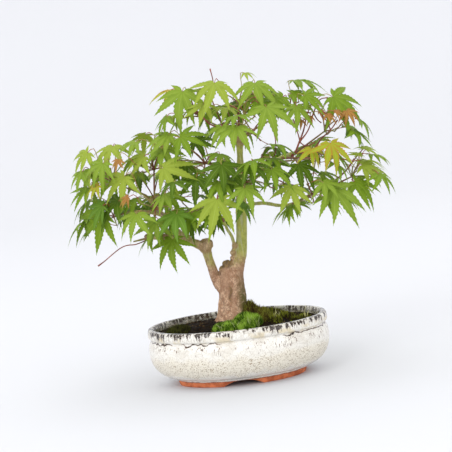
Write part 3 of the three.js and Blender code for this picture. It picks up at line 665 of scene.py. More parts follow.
def tube(line, sides, swell=None):
    """A closed round limb along a line of x, y, z and radius"""
    line = np.asarray(line, float)
    middles = line[:, :3]
    tangents = np.gradient(middles, axis=0)
    tangents /= np.linalg.norm(tangents, axis=1)[:, None]
    normal = np.cross(tangents[0], ASKEW)
    turns = np.arange(sides) * 2 * math.pi / sides
    rings = []
    for middle, tangent, radius in zip(middles, tangents, line[:, 3]):
        normal = normal - tangent * (normal @ tangent)
        normal /= np.linalg.norm(normal)
        outward = np.outer(np.cos(turns), normal) + np.outer(np.sin(turns), np.cross(tangent, normal))
        reach = radius + (swell(middle, outward) if swell else 0) * np.ones(sides)
        rings.append(middle + outward * reach[:, None])
    points = np.vstack([*rings, middles[0], middles[-1]])
    foot, last = len(line) * sides, (len(line) - 1) * sides
    faces = band_faces(len(line), sides)
    for side in range(sides):
        after = (side + 1) % sides
        faces.append((foot, after, side))
        faces.append((foot + 1, last + side, last + after))
    return points, faces


class Axis:
    """A smooth line through points given as x, y, z and radius, read by its share of the whole length"""

    def __init__(self, rows, steps=12):
        knots = np.array(rows, float)
        ends = np.vstack([2 * knots[0] - knots[1], knots, 2 * knots[-1] - knots[-2]])
        share = np.linspace(0, 1, steps, endpoint=False)[:, None]
        spans = []
        for before, start, end, after in zip(ends, ends[1:], ends[2:], ends[3:]):
            first, second, third = (
                max(np.linalg.norm((b - a)[:3]), 1e-6) ** 0.5
                for a, b in ((before, start), (start, end), (end, after)))
            leaving = (start - before) / first - (end - before) / (first + second) + (end - start) / second
            arriving = (end - start) / second - (after - start) / (second + third) + (after - end) / third
            leaving, arriving = leaving * second, arriving * second
            span = (start + leaving * share + (3 * (end - start) - 2 * leaving - arriving) * share ** 2
                    + (2 * (start - end) + leaving + arriving) * share ** 3)
            span[:, 3] = (start[3] + (end[3] - start[3]) * share)[:, 0]
            spans.append(span)
        self.line = np.vstack([*spans, knots[-1]])
        steps = np.linalg.norm(np.diff(self.line[:, :3], axis=0), axis=1)
        self.share = np.concatenate([[0], np.cumsum(steps)]) / steps.sum()
        self.length = steps.sum()

    def row(self, along):
        return np.array([np.interp(along, self.share, self.line[:, column]) for column in range(4)])

    def at(self, along):
        return Vector(self.row(along)[:3])

    def heading(self, along):
        step = 0.5 / self.length
        return (self.at(min(along + step, 1)) - self.at(max(along - step, 0))).normalized()

    def even_rows(self, count, start=0.0):
        return np.array([self.row(along) for along in np.linspace(start, 1, count)])


@dataclass
class Limb:
    """A limb of the tree: its axis, and its root inside the limb that carries it"""
    name: str
    axis: Axis
    root: list = field(default_factory=list)


def joint(carrier, along, toward, radius):
    """Where a child leaves its carrier: its heading, its start, and the rows of its root"""
    root = carrier.axis.at(along)
    tangent = carrier.axis.heading(along)
    if along == 1:
        inside = carrier.axis.row(1 - TIP_DEPTH / carrier.axis.length)
        return tangent, root + tangent * GAP, [(*inside[:3], inside[3] * TIP_SHARE)]
    heading = (Vector(toward) - root).normalized()
    slant = max(math.sin(heading.angle(tangent)), LEAST_SLANT)
    carried = carrier.axis.row(along)[3]
    wide = carried + radius * abs(heading.dot(tangent))
    start = root + heading * (wide / slant + COLLAR)
    rows = [(*(root + heading * ROOT_DEPTH * carried), ROOT_WIDTHS[0] * radius),
            (*(start - heading * (GAP + 1)), ROOT_WIDTHS[1] * radius)]
    return heading, start, rows


def grow_limbs():
    """The trunk and its limbs, by name"""
    limbs = {"trunk": Limb("trunk", Axis(TRUNK_AXIS))}
    for name, on, along, toward, radius, rows in LIMBS:
        if on is None:
            limbs[name] = Limb(name, Axis(rows))
            continue
        heading, start, root = joint(limbs[on], along, toward, radius)
        lead = start + heading * LEAD
        limbs[name] = Limb(name, Axis([(*start, radius), (*lead, radius), *rows]), root)
    return limbs


def root_flare(middle, outward):
    """How far the roots swell the trunk's foot, with low ridges that run up the bark"""
    heading = np.arctan2(outward[:, 1], outward[:, 0])
    low = min(math.exp((GROUND - middle[2]) / FLARE_HEIGHT), 1)
    spread = np.zeros(len(outward))
    for degrees, size in ROOTS:
        turn = (heading - degrees * DEGREE + math.pi) % (2 * math.pi) - math.pi
        spread += size * np.exp(-((turn / FLARE_SPREAD) ** 2))
    return spread * low + RIDGE_HEIGHT * np.sin(heading * RIDGES + middle[2] * RIDGE_TURN)


class Taken:
    """What a new twig or leaf has to stay clear of"""

    def __init__(self, other=None):
        self.lows = other.lows.copy() if other else np.zeros((MOST_SHAPES, 3))
        self.highs = other.highs.copy() if other else np.zeros((MOST_SHAPES, 3))
        self.trees = list(other.trees) if other else []

    def add(self, shape):
        points, faces = shape
        count = len(self.trees)
        self.lows[count], self.highs[count] = points.min(0), points.max(0)
        self.trees.append(BVHTree.FromPolygons(points.tolist(), faces))

    def is_clear(self, shape):
        points, faces = shape
        count = len(self.trees)
        near = np.all((self.lows[:count] <= points.max(0)) & (self.highs[:count] >= points.min(0)), axis=1)
        near = np.nonzero(near)[0]
        if not len(near):
            return True
        tree = BVHTree.FromPolygons(points.tolist(), faces)
        return not any(tree.overlap(self.trees[place]) for place in near)


def leaf_outline():
    """Outline of a leaf as heading and length for each point, once round from the notch at its stalk"""
    side = []
    for place, (degrees, length) in enumerate(LOBES):
        side.append((degrees * DEGREE, length))
        if place + 1 < len(LOBES):
            after = LOBES[place + 1]
            side.append(((degrees + after[0]) / 2 * DEGREE, NOTCH * (length + after[1]) / 2))
    mirrored = [(-heading, reach) for heading, reach in reversed(side[1:])]
    return np.array([*mirrored, *side, (math.pi, BASE_NOTCH)])


OUTLINE = leaf_outline()


@dataclass
class Leaf:
    """One leaf: the rows of its stalk, and its blade's place, directions and length"""
    rows: list
    base: Vector
    tip: Vector
    across: Vector
    normal: Vector
    length: float
    bend: float
    tint: str


def rim_of(leaf, extra=0.0):
    """The blade's outline in space, as an array of points. Its lobes hang down like a parasol's ribs."""
    out = np.sin(leaf.bend * OUTLINE[:, 1]) / leaf.bend * leaf.length + extra
    down = (1 - np.cos(leaf.bend * OUTLINE[:, 1])) / leaf.bend * leaf.length
    return (np.array(leaf.base) + np.outer(np.cos(OUTLINE[:, 0]) * out, leaf.tip)
            + np.outer(np.sin(OUTLINE[:, 0]) * out, leaf.across) - np.outer(down, leaf.normal))


def blade_space(leaf, extra=0.0):
    """The blade's space: a double cone over its outline"""
    rim = rim_of(leaf, extra)
    peak = np.array(leaf.normal) * (PROXY_THICKNESS + extra)
    points = np.vstack([rim, np.array(leaf.base) + peak, np.array(leaf.base) - peak])
    count = len(rim)
    faces = [(place, (place + 1) % count, count) for place in range(count)]
    faces += [((place + 1) % count, place, count + 1) for place in range(count)]
    return points, faces


@dataclass
class Mass:
    """A mass of foliage: its stem, and the space that it keeps to"""
    name: str
    middle: np.ndarray
    extent: np.ndarray
    most: int
    seed: int
    tints: list
    axis: Axis
    root: list


def in_space(points, mass, masses, spill):
    """Whether points lie inside a mass's reach, and nearer its middle than any other's"""
    offsets = np.atleast_2d(points) - mass.middle
    if np.abs(offsets / mass.extent).max() > 1:
        return False
    between = np.array([other.middle - mass.middle for other in masses if other is not mass])
    gaps = np.linalg.norm(between, axis=1)
    past = offsets @ between.T / gaps - gaps / 2
    return bool(past.max() < spill)


def leaves_gaps(leaf):
    """Whether a blade leaves every gap in the crown open, seen from the front"""
    rim = rim_of(leaf)
    points = np.vstack([leaf.base, rim, (rim + leaf.base) / 2])
    share = EYE[1] / (EYE[1] - points[:, 1])
    seen = EYE[::2] + (points[:, ::2] - EYE[::2]) * share[:, None]
    gaps = np.array(GAPS)
    away = np.linalg.norm(seen[:, None] - gaps[None, :, :2], axis=2)
    return bool(np.all(away > gaps[:, 2]))


def place_masses(limbs):
    """The masses, each with a stem from its limb to a hub short of the middle of its space"""
    masses = []
    for name, on, along, middle, extent, most, seed, tints in MASSES:
        heading, start, root = joint(limbs[on], along, middle, STEM_RADIUS)
        inward = start - Vector(middle)
        depth = min(HUB_SHARE * min(extent), inward.length / 2)
        hub = Vector(middle) + inward.normalized() * depth
        lead = start + heading * LEAD
        axis = Axis([(*start, STEM_RADIUS), (*lead, STEM_RADIUS), (*hub, TWIG_RADIUS)])
        masses.append(Mass(name, np.array(middle, float), np.array(extent, float), most, seed,
                           tints.split(), axis, root))
    return masses


def try_leaf(node, heading, tint, draw, lengths):
    """One try at a leaf on its stalk: it turns outwards, hangs, and is rolled a little to one side"""
    grown = TINTS[tint][2]
    reach = draw(*STALK_LENGTH) * grown
    base = node + heading * reach
    base.z -= draw(0, STALK_SAG) * reach
    outward = Vector((base.x - CROWN_AXIS_X, base.y, 0)).normalized()
    facing = Vector((heading.x, heading.y, 0)) + outward * OUTWARD
    if base.y < FRONT_DEPTH:
        facing.y -= FRONT_TURN
    facing.normalize()
    droop = draw(*DROOP)
    bend = draw(*BEND) + BEND_FLAT * (1 - droop / DROOP[1])
    tip = facing * math.cos(droop) - UP * math.sin(droop)
    normal = facing * math.sin(droop) + UP * math.cos(droop)
    roll = draw(-ROLL, ROLL)
    normal = (normal * math.cos(roll) + tip.cross(normal) * math.sin(roll)).normalized()
    across = normal.cross(tip)
    middle = base - tip * STALK_HANG * reach
    root = node + heading * NODE_START
    rows = [(*root, STALK_RADIUS), (*middle, STALK_RADIUS), (*base, STALK_RADIUS)]
    return Leaf(rows, base, tip, across, normal, draw(*lengths) * grown, bend, tint)


@dataclass
class Growth:
    """What a mass has grown so far"""
    taken: Taken
    bases: list
    twigs: list = field(default_factory=list)
    leaves: list = field(default_factory=list)


def add_leaf(mass, masses, node, heading, tint, draw, grown, lengths):
    """Adds one leaf to a mass, if one of its tries fits the space and touches nothing"""
    for _ in range(TRIES):
        turned = heading + Vector((draw(-STRAY, STRAY), draw(-STRAY, STRAY), draw(*STRAY_RISE)))
        leaf = try_leaf(node, turned.normalized(), tint, draw, lengths)
        if not in_space(leaf.base, mass, masses, -BASE_INSET):
            continue
        if not in_space(rim_of(leaf), mass, masses, SPILL) or not leaves_gaps(leaf):
            continue
        if not grown.taken.is_clear(blade_space(leaf, LEAF_ROOM)):
            continue
        wide = STALK_RADIUS + LEAF_ROOM
        clear_of = node.lerp(Vector(leaf.rows[1][:3]), ROOT_SHARE)
        free = [(*clear_of, wide), (*leaf.rows[1][:3], wide), (*leaf.base, wide)]
        if not grown.taken.is_clear(tube(free, PROXY_SIDES)):
            continue
        grown.taken.add(blade_space(leaf))
        grown.taken.add(tube(leaf.rows, PROXY_SIDES))
        grown.bases.append(np.array(leaf.base))
        grown.leaves.append(leaf)
        return True
    return False


def best_twig(mass, masses, start, forward, lengths, onward, draw, grown):
    """The clear way on from a node that ends furthest from all leaves grown so far"""
    best = None
    for _ in range(TWIG_TRIES):
        heading = Vector((draw(-1, 1), draw(-1, 1), draw(*TWIG_RISE))).normalized()
        heading = (heading + forward * onward).normalized()
        length = draw(*lengths)
        tip = start + heading * length
        if not in_space(np.array(tip), mass, masses, -TWIG_INSET):
            continue
        room = np.linalg.norm(np.array(grown.bases) - np.array(tip), axis=1).min()
        if best and room < best[2]:
            continue
        root = start + heading * NODE_START
        wide = TWIG_RADIUS + LEAF_ROOM
        if grown.taken.is_clear(tube([(*root.lerp(tip, ROOT_SHARE), wide), (*tip, wide)], PROXY_SIDES)):
            best = (heading, tip, room, length)
    return best


def leaf_pair(mass, masses, node, heading, hinge, draw, grown, lengths):
    """A pair of leaves at a node, one to each side, in one tint. Returns how many found room."""
    tint = mass.tints[int(draw(0, len(mass.tints)))]
    before = len(grown.leaves)
    for side in (-1, 1):
        swing = side * STALK_SWING * draw(*SWING_SPREAD)
        if len(grown.leaves) < mass.most:
            turned = heading * math.cos(swing) + hinge.cross(heading) * math.sin(swing)
            add_leaf(mass, masses, node, turned, tint, draw, grown, lengths)
    return len(grown.leaves) - before


def seat_leaf(seat, mass, draw, plant, seated):
    """Grows one leaf that stands out, with its stalk and its twig, if they touch nothing"""
    place, turn, back, length, tint = seat
    base, turn, back = Vector(place), turn * DEGREE, back * DEGREE
    down = Vector((0, -math.sin(back), -math.cos(back)))
    outward = Matrix.Rotation(SEAT_TURN * (base.x - CROWN_AXIS_X), 3, "Z")
    tip = outward @ (Vector((math.cos(turn), 0, 0)) - down * math.sin(turn))
    normal = outward @ Vector((0, -math.cos(back), math.sin(back)))
    bend = SEAT_BEND[0] + SEAT_BEND[1] * math.sin(back)
    hub = mass.axis.at(1)
    away = base - hub
    reach = min(STALK_LENGTH[1], away.length / 2)
    leaf = Leaf([], base, tip, normal.cross(tip), normal, length, bend, tint)
    if not plant.taken.is_clear(blade_space(leaf, LEAF_ROOM)):
        return
    nodes = []
    for _ in range(TRIES):
        wander = Vector((draw(-1, 1), draw(-1, 1), draw(-1, 1))) * SEAT_WANDER
        nodes.append(base + (wander + UP * SEAT_LIFT - away.normalized()).normalized() * reach)
    nodes.sort(key=lambda node: (node - hub).length + SEAT_RISE * max(0, node.z - base.z))
    for node in nodes:
        leaf.rows = [(*node, STALK_RADIUS), (*(base - tip * STALK_HANG * reach), STALK_RADIUS),
                     (*base, STALK_RADIUS)]
        heading = (node - hub).normalized()
        arch = hub.lerp(node, 0.5) + UP * SEAT_ARCH * (node - hub).length
        twig = [(*(hub + heading * NODE_START), TWIG_RADIUS), (*arch, TWIG_RADIUS), (*node, TIP_RADIUS)]
        free = [(*hub.lerp(node, ROOT_SHARE), TWIG_RADIUS), *twig[1:]]
        stalk = tube(leaf.rows, PROXY_SIDES)
        if plant.taken.is_clear(tube(free, PROXY_SIDES)) and plant.taken.is_clear(stalk):
            for shape in (blade_space(leaf), stalk, tube(twig, PROXY_SIDES)):
                plant.taken.add(shape)
            plant.bases.append(np.array(base))
            seated.twigs.append(twig)
            seated.leaves.append(leaf)
            return


def seat_leaves(masses, plant):
    """The leaves that stand out, each grown by the mass whose middle is nearest"""
    draw = random_source(SEED_STEP)
    seated = {mass.name: Growth(None, []) for mass in masses}
    for seat in SEATS:
        nearest = min(masses, key=lambda mass: np.linalg.norm((mass.middle - seat[0]) / mass.extent))
        seat_leaf(seat, nearest, draw, plant, seated[nearest.name])
    return seated


def grow_mass(mass, masses, seed, plant, seated, lengths):
    """Twigs part from the end of the stem, each with a pair of leaves at its tip and at each finer one's"""
    draw = random_source(seed)
    hub, forward = mass.axis.at(1), mass.axis.heading(1)
    grown = Growth(Taken(plant.taken), list(plant.bases), list(seated.twigs), list(seated.leaves))
    for _ in range(TWIG_MOST):
        if len(grown.leaves) >= mass.most:
            break
        start, way_on, onward, length_range, radius = hub, forward, TWIG_ONWARD, TWIG_LENGTH, TWIG_RADIUS
        for _order in range(1 + FINER_ORDERS):
            way = best_twig(mass, masses, start, way_on, length_range, onward, draw, grown)
            if not way:
                break
            heading, tip, _, length = way
            level = heading.cross(UP)
            if level.length < TOO_STEEP:
                level = Vector((0, 1, 0))
            hinge = level.cross(heading).normalized()
            if not leaf_pair(mass, masses, tip, heading, hinge, draw, grown, lengths):
                break
            bend = start.lerp(tip, 0.5) + UP * TWIG_ARCH * length
            end_radius = max(radius - TWIG_TAPER, TIP_RADIUS)
            rows = [(*(start + heading * NODE_START), radius), (*bend, radius), (*tip, end_radius)]
            grown.twigs.append(rows)
            grown.taken.add(tube(rows, PROXY_SIDES))
            start, way_on, radius = tip, heading, end_radius
            onward, length_range = FINER_ONWARD, FINER_LENGTH
    return grown


def grow_crown(limbs, masses, lengths):
    """Every mass in turn, each from the seed that fills it best"""
    plant = Growth(Taken(), [np.array((0, 0, GROUND), float)])
    for limb in limbs.values():
        plant.taken.add(tube(limb.axis.even_rows(LIMB_PROXY[0]), LIMB_PROXY[1]))
    for mass in masses:
        plant.taken.add(tube(mass.axis.even_rows(STEM_PROXY[0]), STEM_PROXY[1]))
    for _, radius, line in SHOOTS:
        plant.taken.add(tube([(*point, radius) for point in line], PROXY_SIDES))
    seated = seat_leaves(masses, plant)
    grown_masses = {}
    for mass in masses:
        best = None
        for turn in range(REGROWTHS):
            seed = mass.seed + turn * SEED_STEP
            grown = grow_mass(mass, masses, seed, plant, seated[mass.name], lengths)
            if best is None or len(grown.leaves) > len(best.leaves):
                best = grown
            if len(best.leaves) >= mass.most:
                break
        plant = Growth(best.taken, best.bases)
        grown_masses[mass.name] = best
    return grown_masses


class BladeGrid:
    """The grid of a leaf blade: its faces, and its points in the leaf's own plane for a lobe one long"""
    rows = PALM_ROWS + LOBE_ROWS
    lobes = 2 * len(LOBES) - 1

    def __init__(self):
        self.seam_start = 1
        self.rib_start = 1 + (self.lobes + 1) * PALM_ROWS
        self.edge_start = self.rib_start + self.lobes * self.rows
        self.size = self.edge_start + 2 * self.lobes * (LOBE_ROWS - 1)
        self.faces = [face for lobe in range(self.lobes) for side in (0, 1)
                      for face in self.half(lobe, side)]

    def rib(self, lobe, row):
        return 0 if row == 0 else self.rib_start + lobe * self.rows + row - 1

    def rim(self, lobe, side, row):
        if row == 0:
            return 0
        if row <= PALM_ROWS:
            return self.seam_start + (lobe + side) * PALM_ROWS + row - 1
        if row == self.rows:
            return self.rib(lobe, row)
        return self.edge_start + (2 * lobe + side) * (LOBE_ROWS - 1) + row - PALM_ROWS - 1

    def half(self, lobe, side):
        """The faces of a lobe's half, from the blade's foot to the lobe's tip"""
        for row in range(self.rows):
            face = [self.rib(lobe, row), self.rib(lobe, row + 1), self.rim(lobe, side, row + 1),
                    self.rim(lobe, side, row)]
            face = list(dict.fromkeys(face))
            yield face[::-1] if side == 0 else face

    def points(self, draw, bend):
        """One leaf's points as along, across and height, and 1 on its ribs, for a middle lobe one long"""
        order = [(-degrees, reach) for degrees, reach in reversed(LOBES[1:])] + list(LOBES)
        turns = np.array([(degrees + draw(-LOBE_TURN, LOBE_TURN)) * DEGREE for degrees, _ in order])
        reaches = np.array([reach * draw(*LOBE_LENGTHS) for _, reach in order])
        curls = [draw(*LOBE_CURL) for _ in order]
        sways = [draw(-LOBE_SWAY, LOBE_SWAY) for _ in order]
        seams = np.array([turns[0] - FOOT_TURN, *(turns[:-1] + turns[1:]) / 2, turns[-1] + FOOT_TURN])
        depths = NOTCH * np.array([reaches[0], *(reaches[:-1] + reaches[1:]) / 2, reaches[-1]])
        flat = np.zeros((self.size, 2))
        lift, veins = np.zeros(self.size), np.zeros(self.size)
        palm = np.arange(1, PALM_ROWS + 1) / PALM_ROWS
        for seam, (turn, depth) in enumerate(zip(seams, depths)):
            first = self.seam_start + seam * PALM_ROWS
            flat[first:first + PALM_ROWS] = np.outer(palm * depth, (math.cos(turn), math.sin(turn)))
            near = abs(turn - turns[min(seam, self.lobes - 1)])
            lift[first:first + PALM_ROWS] = BLADE_FOLD * palm * depth * math.sin(near)
        beyond = np.arange(1, LOBE_ROWS + 1) / LOBE_ROWS
        for lobe, (turn, reach) in enumerate(zip(turns, reaches)):
            along = np.array((math.cos(turn), math.sin(turn)))
            aside = np.array((-along[1], along[0]))
            start = (depths[lobe] + depths[lobe + 1]) / 2
            distance = np.concatenate([palm * start, start + beyond * (reach - start)])
            first = self.rib(lobe, 1)
            sway = sways[lobe] * (distance - start).clip(0) ** 2 / reach
            flat[first:first + self.rows] = np.outer(distance, along) + np.outer(sway, aside)
            lift[first + PALM_ROWS:first + self.rows] -= curls[lobe] * reach * beyond ** 2
            veins[first:first + self.rows] = 1
            share = beyond[:-1]
            teeth = np.arange(LOBE_ROWS - 1) % TOOTH_ROWS / (TOOTH_ROWS - 1)
            teeth = TOOTH * teeth * (1 - share) ** 0.5
            for side in (0, 1):
                slant = abs(seams[lobe + side] - turn)
                depth = depths[lobe + side]
                foot, width = depth * math.cos(slant), depth * math.sin(slant)
                swell = LOBE_SWELL * share * (1 - share) ** LOBE_TAPER + teeth
                swell = width * (1 - share) ** 2 + reach * swell
                line = foot + (reach - foot) * share
                first = self.rim(lobe, side, PALM_ROWS + 1)
                swayed = sways[lobe] * (line - start).clip(0) ** 2 / reach + swell * (2 * side - 1)
                flat[first:first + LOBE_ROWS - 1] = np.outer(line, along) + np.outer(swayed, aside)
                lift[first:first + LOBE_ROWS - 1] = BLADE_FOLD * swell - curls[lobe] * reach * share ** 2
        turned = np.maximum(np.hypot(flat[:, 0], flat[:, 1]), 1e-6) * bend
        height = lift * np.cos(turned) - (1 - np.cos(turned)) / bend
        return np.column_stack([flat * (np.sin(turned) / turned)[:, None], height]), veins


# The setting of every node that turns a value into a share by a smooth step
SMOOTH = {"interpolation_type": "SMOOTHSTEP"}


def add_node(tree, kind, inputs=(), **settings):
    """Adds a shader node with its settings. Its inputs go by name, or in order to the sockets in use, and
    each takes a value, or the first output of another node."""
    made = tree.nodes.new("ShaderNode" + kind)
    for name, value in settings.items():
        setattr(made, name, value)
    sockets = [socket for socket in made.inputs if socket.enabled]
    if isinstance(inputs, dict):
        sockets = [next(socket for socket in sockets if name in (socket.name, socket.identifier))
                   for name in inputs]
        inputs = inputs.values()
    for socket, value in zip(sockets, inputs):
        if isinstance(value, bpy.types.Node):
            value = next(output for output in value.outputs if output.enabled)
        if isinstance(value, bpy.types.NodeSocket):
            tree.links.new(value, socket)
        else:
            socket.default_value = value
    return made


def new_material(name):
    """An empty material, what adds nodes to it, and the place on the object in millimetres"""
    material = bpy.data.materials.new(name)
    material.use_nodes = True
    material.node_tree.nodes.clear()
    add = partial(add_node, material.node_tree)
    place = add("TexCoord").outputs["Object"]
    return material, add, add("VectorMath", {"Vector": place, "Scale": 1 / MM}, operation="SCALE")


def overlap(add, *shares):
    """The product of shares. One given as a tuple is a smooth step: a value, where its step starts and
    ends, and the shares before and after it, which are 0 and 1 where they aren't given."""
    first, *others = [add("MapRange", share, **SMOOTH) if isinstance(share, tuple) else share
                      for share in shares]
    for share in others:
        first = add("Math", (first, share), operation="MULTIPLY")
    return first


def painted(add, colour, *layers):
    """A colour with layers laid over it in turn, each a tint and the shares whose overlap it covers"""
    for tint, *shares in layers:
        colour = add("Mix", (overlap(add, *shares), colour, tint), data_type="RGBA")
    return colour


def glazed_stoneware(settings):
    """Cream glaze over iron-bearing stoneware: glossy, speckled brown, broken dark on the lip, crackled"""
    material, add, place = new_material("crackle_glazed_stoneware")
    axes = add("SeparateXYZ", (place,)).outputs
    height = axes["Z"]
    inside = add("Attribute", attribute_name="inside").outputs["Fac"]
    cloud = add("TexNoise", (place, 1 / GLAZE_CLOUDS, 5, 0.6))
    drift = add("TexNoise", (place, 1 / GLAZE_DRIFTS, 3))
    spread = add("TexNoise", (place, 1 / GLAZE_SPREAD, 2))
    mottle = add("TexNoise", (place, 1 / RIM_MOTTLE, 4, 0.7))
    # White where the glaze is thick, above and along its lower edge, and beige on the belly between
    wavy = add("Math", (cloud, 18, height), operation="MULTIPLY_ADD")
    belly = overlap(add, (wavy, 41, 33), (wavy, 19, 24))
    beige = add("Math", (belly, overlap(add, (cloud, 0.5, 0.7, 0, 0.6))), operation="MAXIMUM")
    # Many fine iron specks on the belly, fewer elsewhere, and a coarse spot every few millimetres
    specks = add("TexNoise", (place, 1 / FINE_SPECKS, 1))
    spots = add("TexVoronoi", (place, 1 / IRON_SPOTS))
    # Dark upright dashes along the lip's upper edge, where the glaze runs thin, with ragged feet
    dashes = add("Mapping", {"Vector": place, "Scale": (1, 1, 0.06)})
    dashes = add("TexVoronoi", (dashes, 1 / LIP_DASHES))
    ragged = add("Mapping", {"Vector": place, "Scale": (1, 1, 0.45)})
    ragged = add("TexNoise", (ragged, 1 / DASH_EDGES, 3, 0.75))
    wide = overlap(add, (height, 44.5, 50.5, 0.02, 0.56))
    for step in ((height, 51.9, 51, -0.12, 0), (spread, 0.35, 0.62, -0.16, 0.1),
                 (ragged, 0.35, 0.65, -0.2, 0.14)):
        wide = add("Math", (wide, overlap(add, step)), operation="ADD")
    within = add("Math", (wide, dashes), operation="SUBTRACT")
    dashes = overlap(add, (within, -0.05, 0.05), (height, 43.5, 45.5, 0, 0.94))
    # Hair-thin runs under the groove
    runs = add("Mapping", {"Vector": place, "Scale": (1, 1, 0.18)})
    runs = add("TexNoise", (runs, 1 / GLAZE_RUNS, 2))
    hairs = overlap(add, (height, 30, 35), (height, 41.5, 38), (runs, 0.55, 0.66, 0, 0.7),
                    (spread, 0.4, 0.6, 0.15, 1))
    # A thin broken crack that wanders along the groove, with painted shade in the groove, faint in the
    # middle of the front
    wander = add("TexNoise", (place, 1 / GROOVE_WANDER, 4))
    middle = add("Math", (wander, 8, 37.5), operation="MULTIPLY_ADD")
    away = add("Math", (add("Math", (height, middle), operation="SUBTRACT"),), operation="ABSOLUTE")
    breaks = add("TexNoise", (place, 1 / GROOVE_BREAKS, 2))
    aside = add("Math", (axes["X"],), operation="ABSOLUTE")
    crack_and_groove_shade = overlap(add, (away, 0.7, 0.2), (aside, 18, 34, 0.15, 1), (breaks, 0.42, 0.5, 0, 0.9))
    dark = add("Math", (add("Math", (dashes, crack_and_groove_shade), operation="MAXIMUM"), hairs), operation="MAXIMUM")
    cells = add("TexVoronoi", (place, 1 / CRACKLE), feature="DISTANCE_TO_EDGE")
    colour = painted(
        add, settings.glaze, (settings.glaze_shade, beige),
        (settings.speck, (specks, 0.54, 0.62), (belly, 0, 1, 0.25, 0.8), (drift, 0.3, 0.6, 0.4, 1)),
        (linear("#5d4a35"), (spots, 0.12, 0.05, 0, 0.7)),
        # Grey streaks on the shoulder, brown smears and warm stains on the lip
        (linear("#cbc5bb"), (height, 28, 36), (cloud, 0.42, 0.62, 0, 0.5)),
        (linear("#786b5f"), (height, 42.5, 47), (runs, 0.42, 0.62, 0, 0.85), (spread, 0.38, 0.6, 0.2, 1)),
        (linear("#d9c9a2"), (height, 40.5, 43.5), (height, 49, 46), (cloud, 0.45, 0.6, 0, 0.6)),
        # Thin glaze inside the rim, mottled grey-green over the dark body
        (linear("#55543f"), inside, (mottle, 0.38, 0.6, 0.2, 0.95)),
        # Dashes, the crack with the groove's painted shade, and hairs, brown at their edges
        (linear("#6d4a34"), (dark, 0.05, 0.5)), (settings.dashes, (dark, 0.4, 0.9)),
        (linear("#8f8270"), (cells, 0.05, 0, 0, 0.25)))
    peel = add("TexNoise", (place, 1 / GLAZE_PEEL, 3))
    relief = add("Math", (dark, -0.5, peel), operation="MULTIPLY_ADD")
    bump = add("Bump", {"Height": relief, "Strength": 0.6, "Distance": 0.5 * MM})
    duller, uneven = overlap(add, (belly, 0, 1, 0.12, 0.38)), overlap(add, (mottle, 0.3, 0.8, 0, 0.12))
    roughness = add("Math", (duller, uneven), operation="ADD")
    surface = add("BsdfPrincipled", {"Base Color": colour, "Roughness": roughness, "Coat Weight": 0.2,
                                     "Coat Roughness": 0.08, "Normal": bump})
    add("OutputMaterial", (surface,))
    return material


def bare_terracotta(settings):
    """Unglazed red clay of the foot: dull and warm, with fine grit and darker scorched patches"""
    material, add, place = new_material("bare_terracotta")
    height = add("SeparateXYZ", (place,)).outputs["Z"]
    patches = add("TexNoise", (place, 1 / CLAY_PATCHES, 5))
    grit = add("TexNoise", (place, 1 / CLAY_GRIT, 2))
    colour = painted(
        add, settings.clay, (linear("#b85c34"), (patches, 0.35, 0.65)),
        (linear("#c98a63"), (grit, 0.55, 0.7, 0, 0.5)),
        (linear("#5b3322"), (height, 3.7, 5), (grit, 0.4, 0.55, 0, 0.85)))
    bump = add("Bump", {"Height": grit, "Strength": 0.6, "Distance": 0.2 * MM})
    surface = add("BsdfPrincipled", {"Base Color": colour, "Roughness": 0.82, "Normal": bump})
    add("OutputMaterial", (surface,))
    return material


def crumbly(name, first, second, size, roughness=0.9):
    """Earth, grit or moss: two colours in drifts of the given size, with a fine rough relief"""
    material, add, place = new_material(name)
    drifts = add("TexNoise", (place, 1 / size, 6, 0.65))
    grain = add("TexNoise", (place, 1 / EARTH_GRAIN, 3))
    colour = painted(add, linear(first), (linear(second), (drifts, 0.38, 0.62)))
    bump = add("Bump", {"Height": grain, "Strength": 0.8, "Distance": 0.4 * MM})
    surface = add("BsdfPrincipled", {"Base Color": colour, "Roughness": roughness,
                                     "Specular IOR Level": 0.12, "Normal": bump})
    add("OutputMaterial", (surface,))
    return material


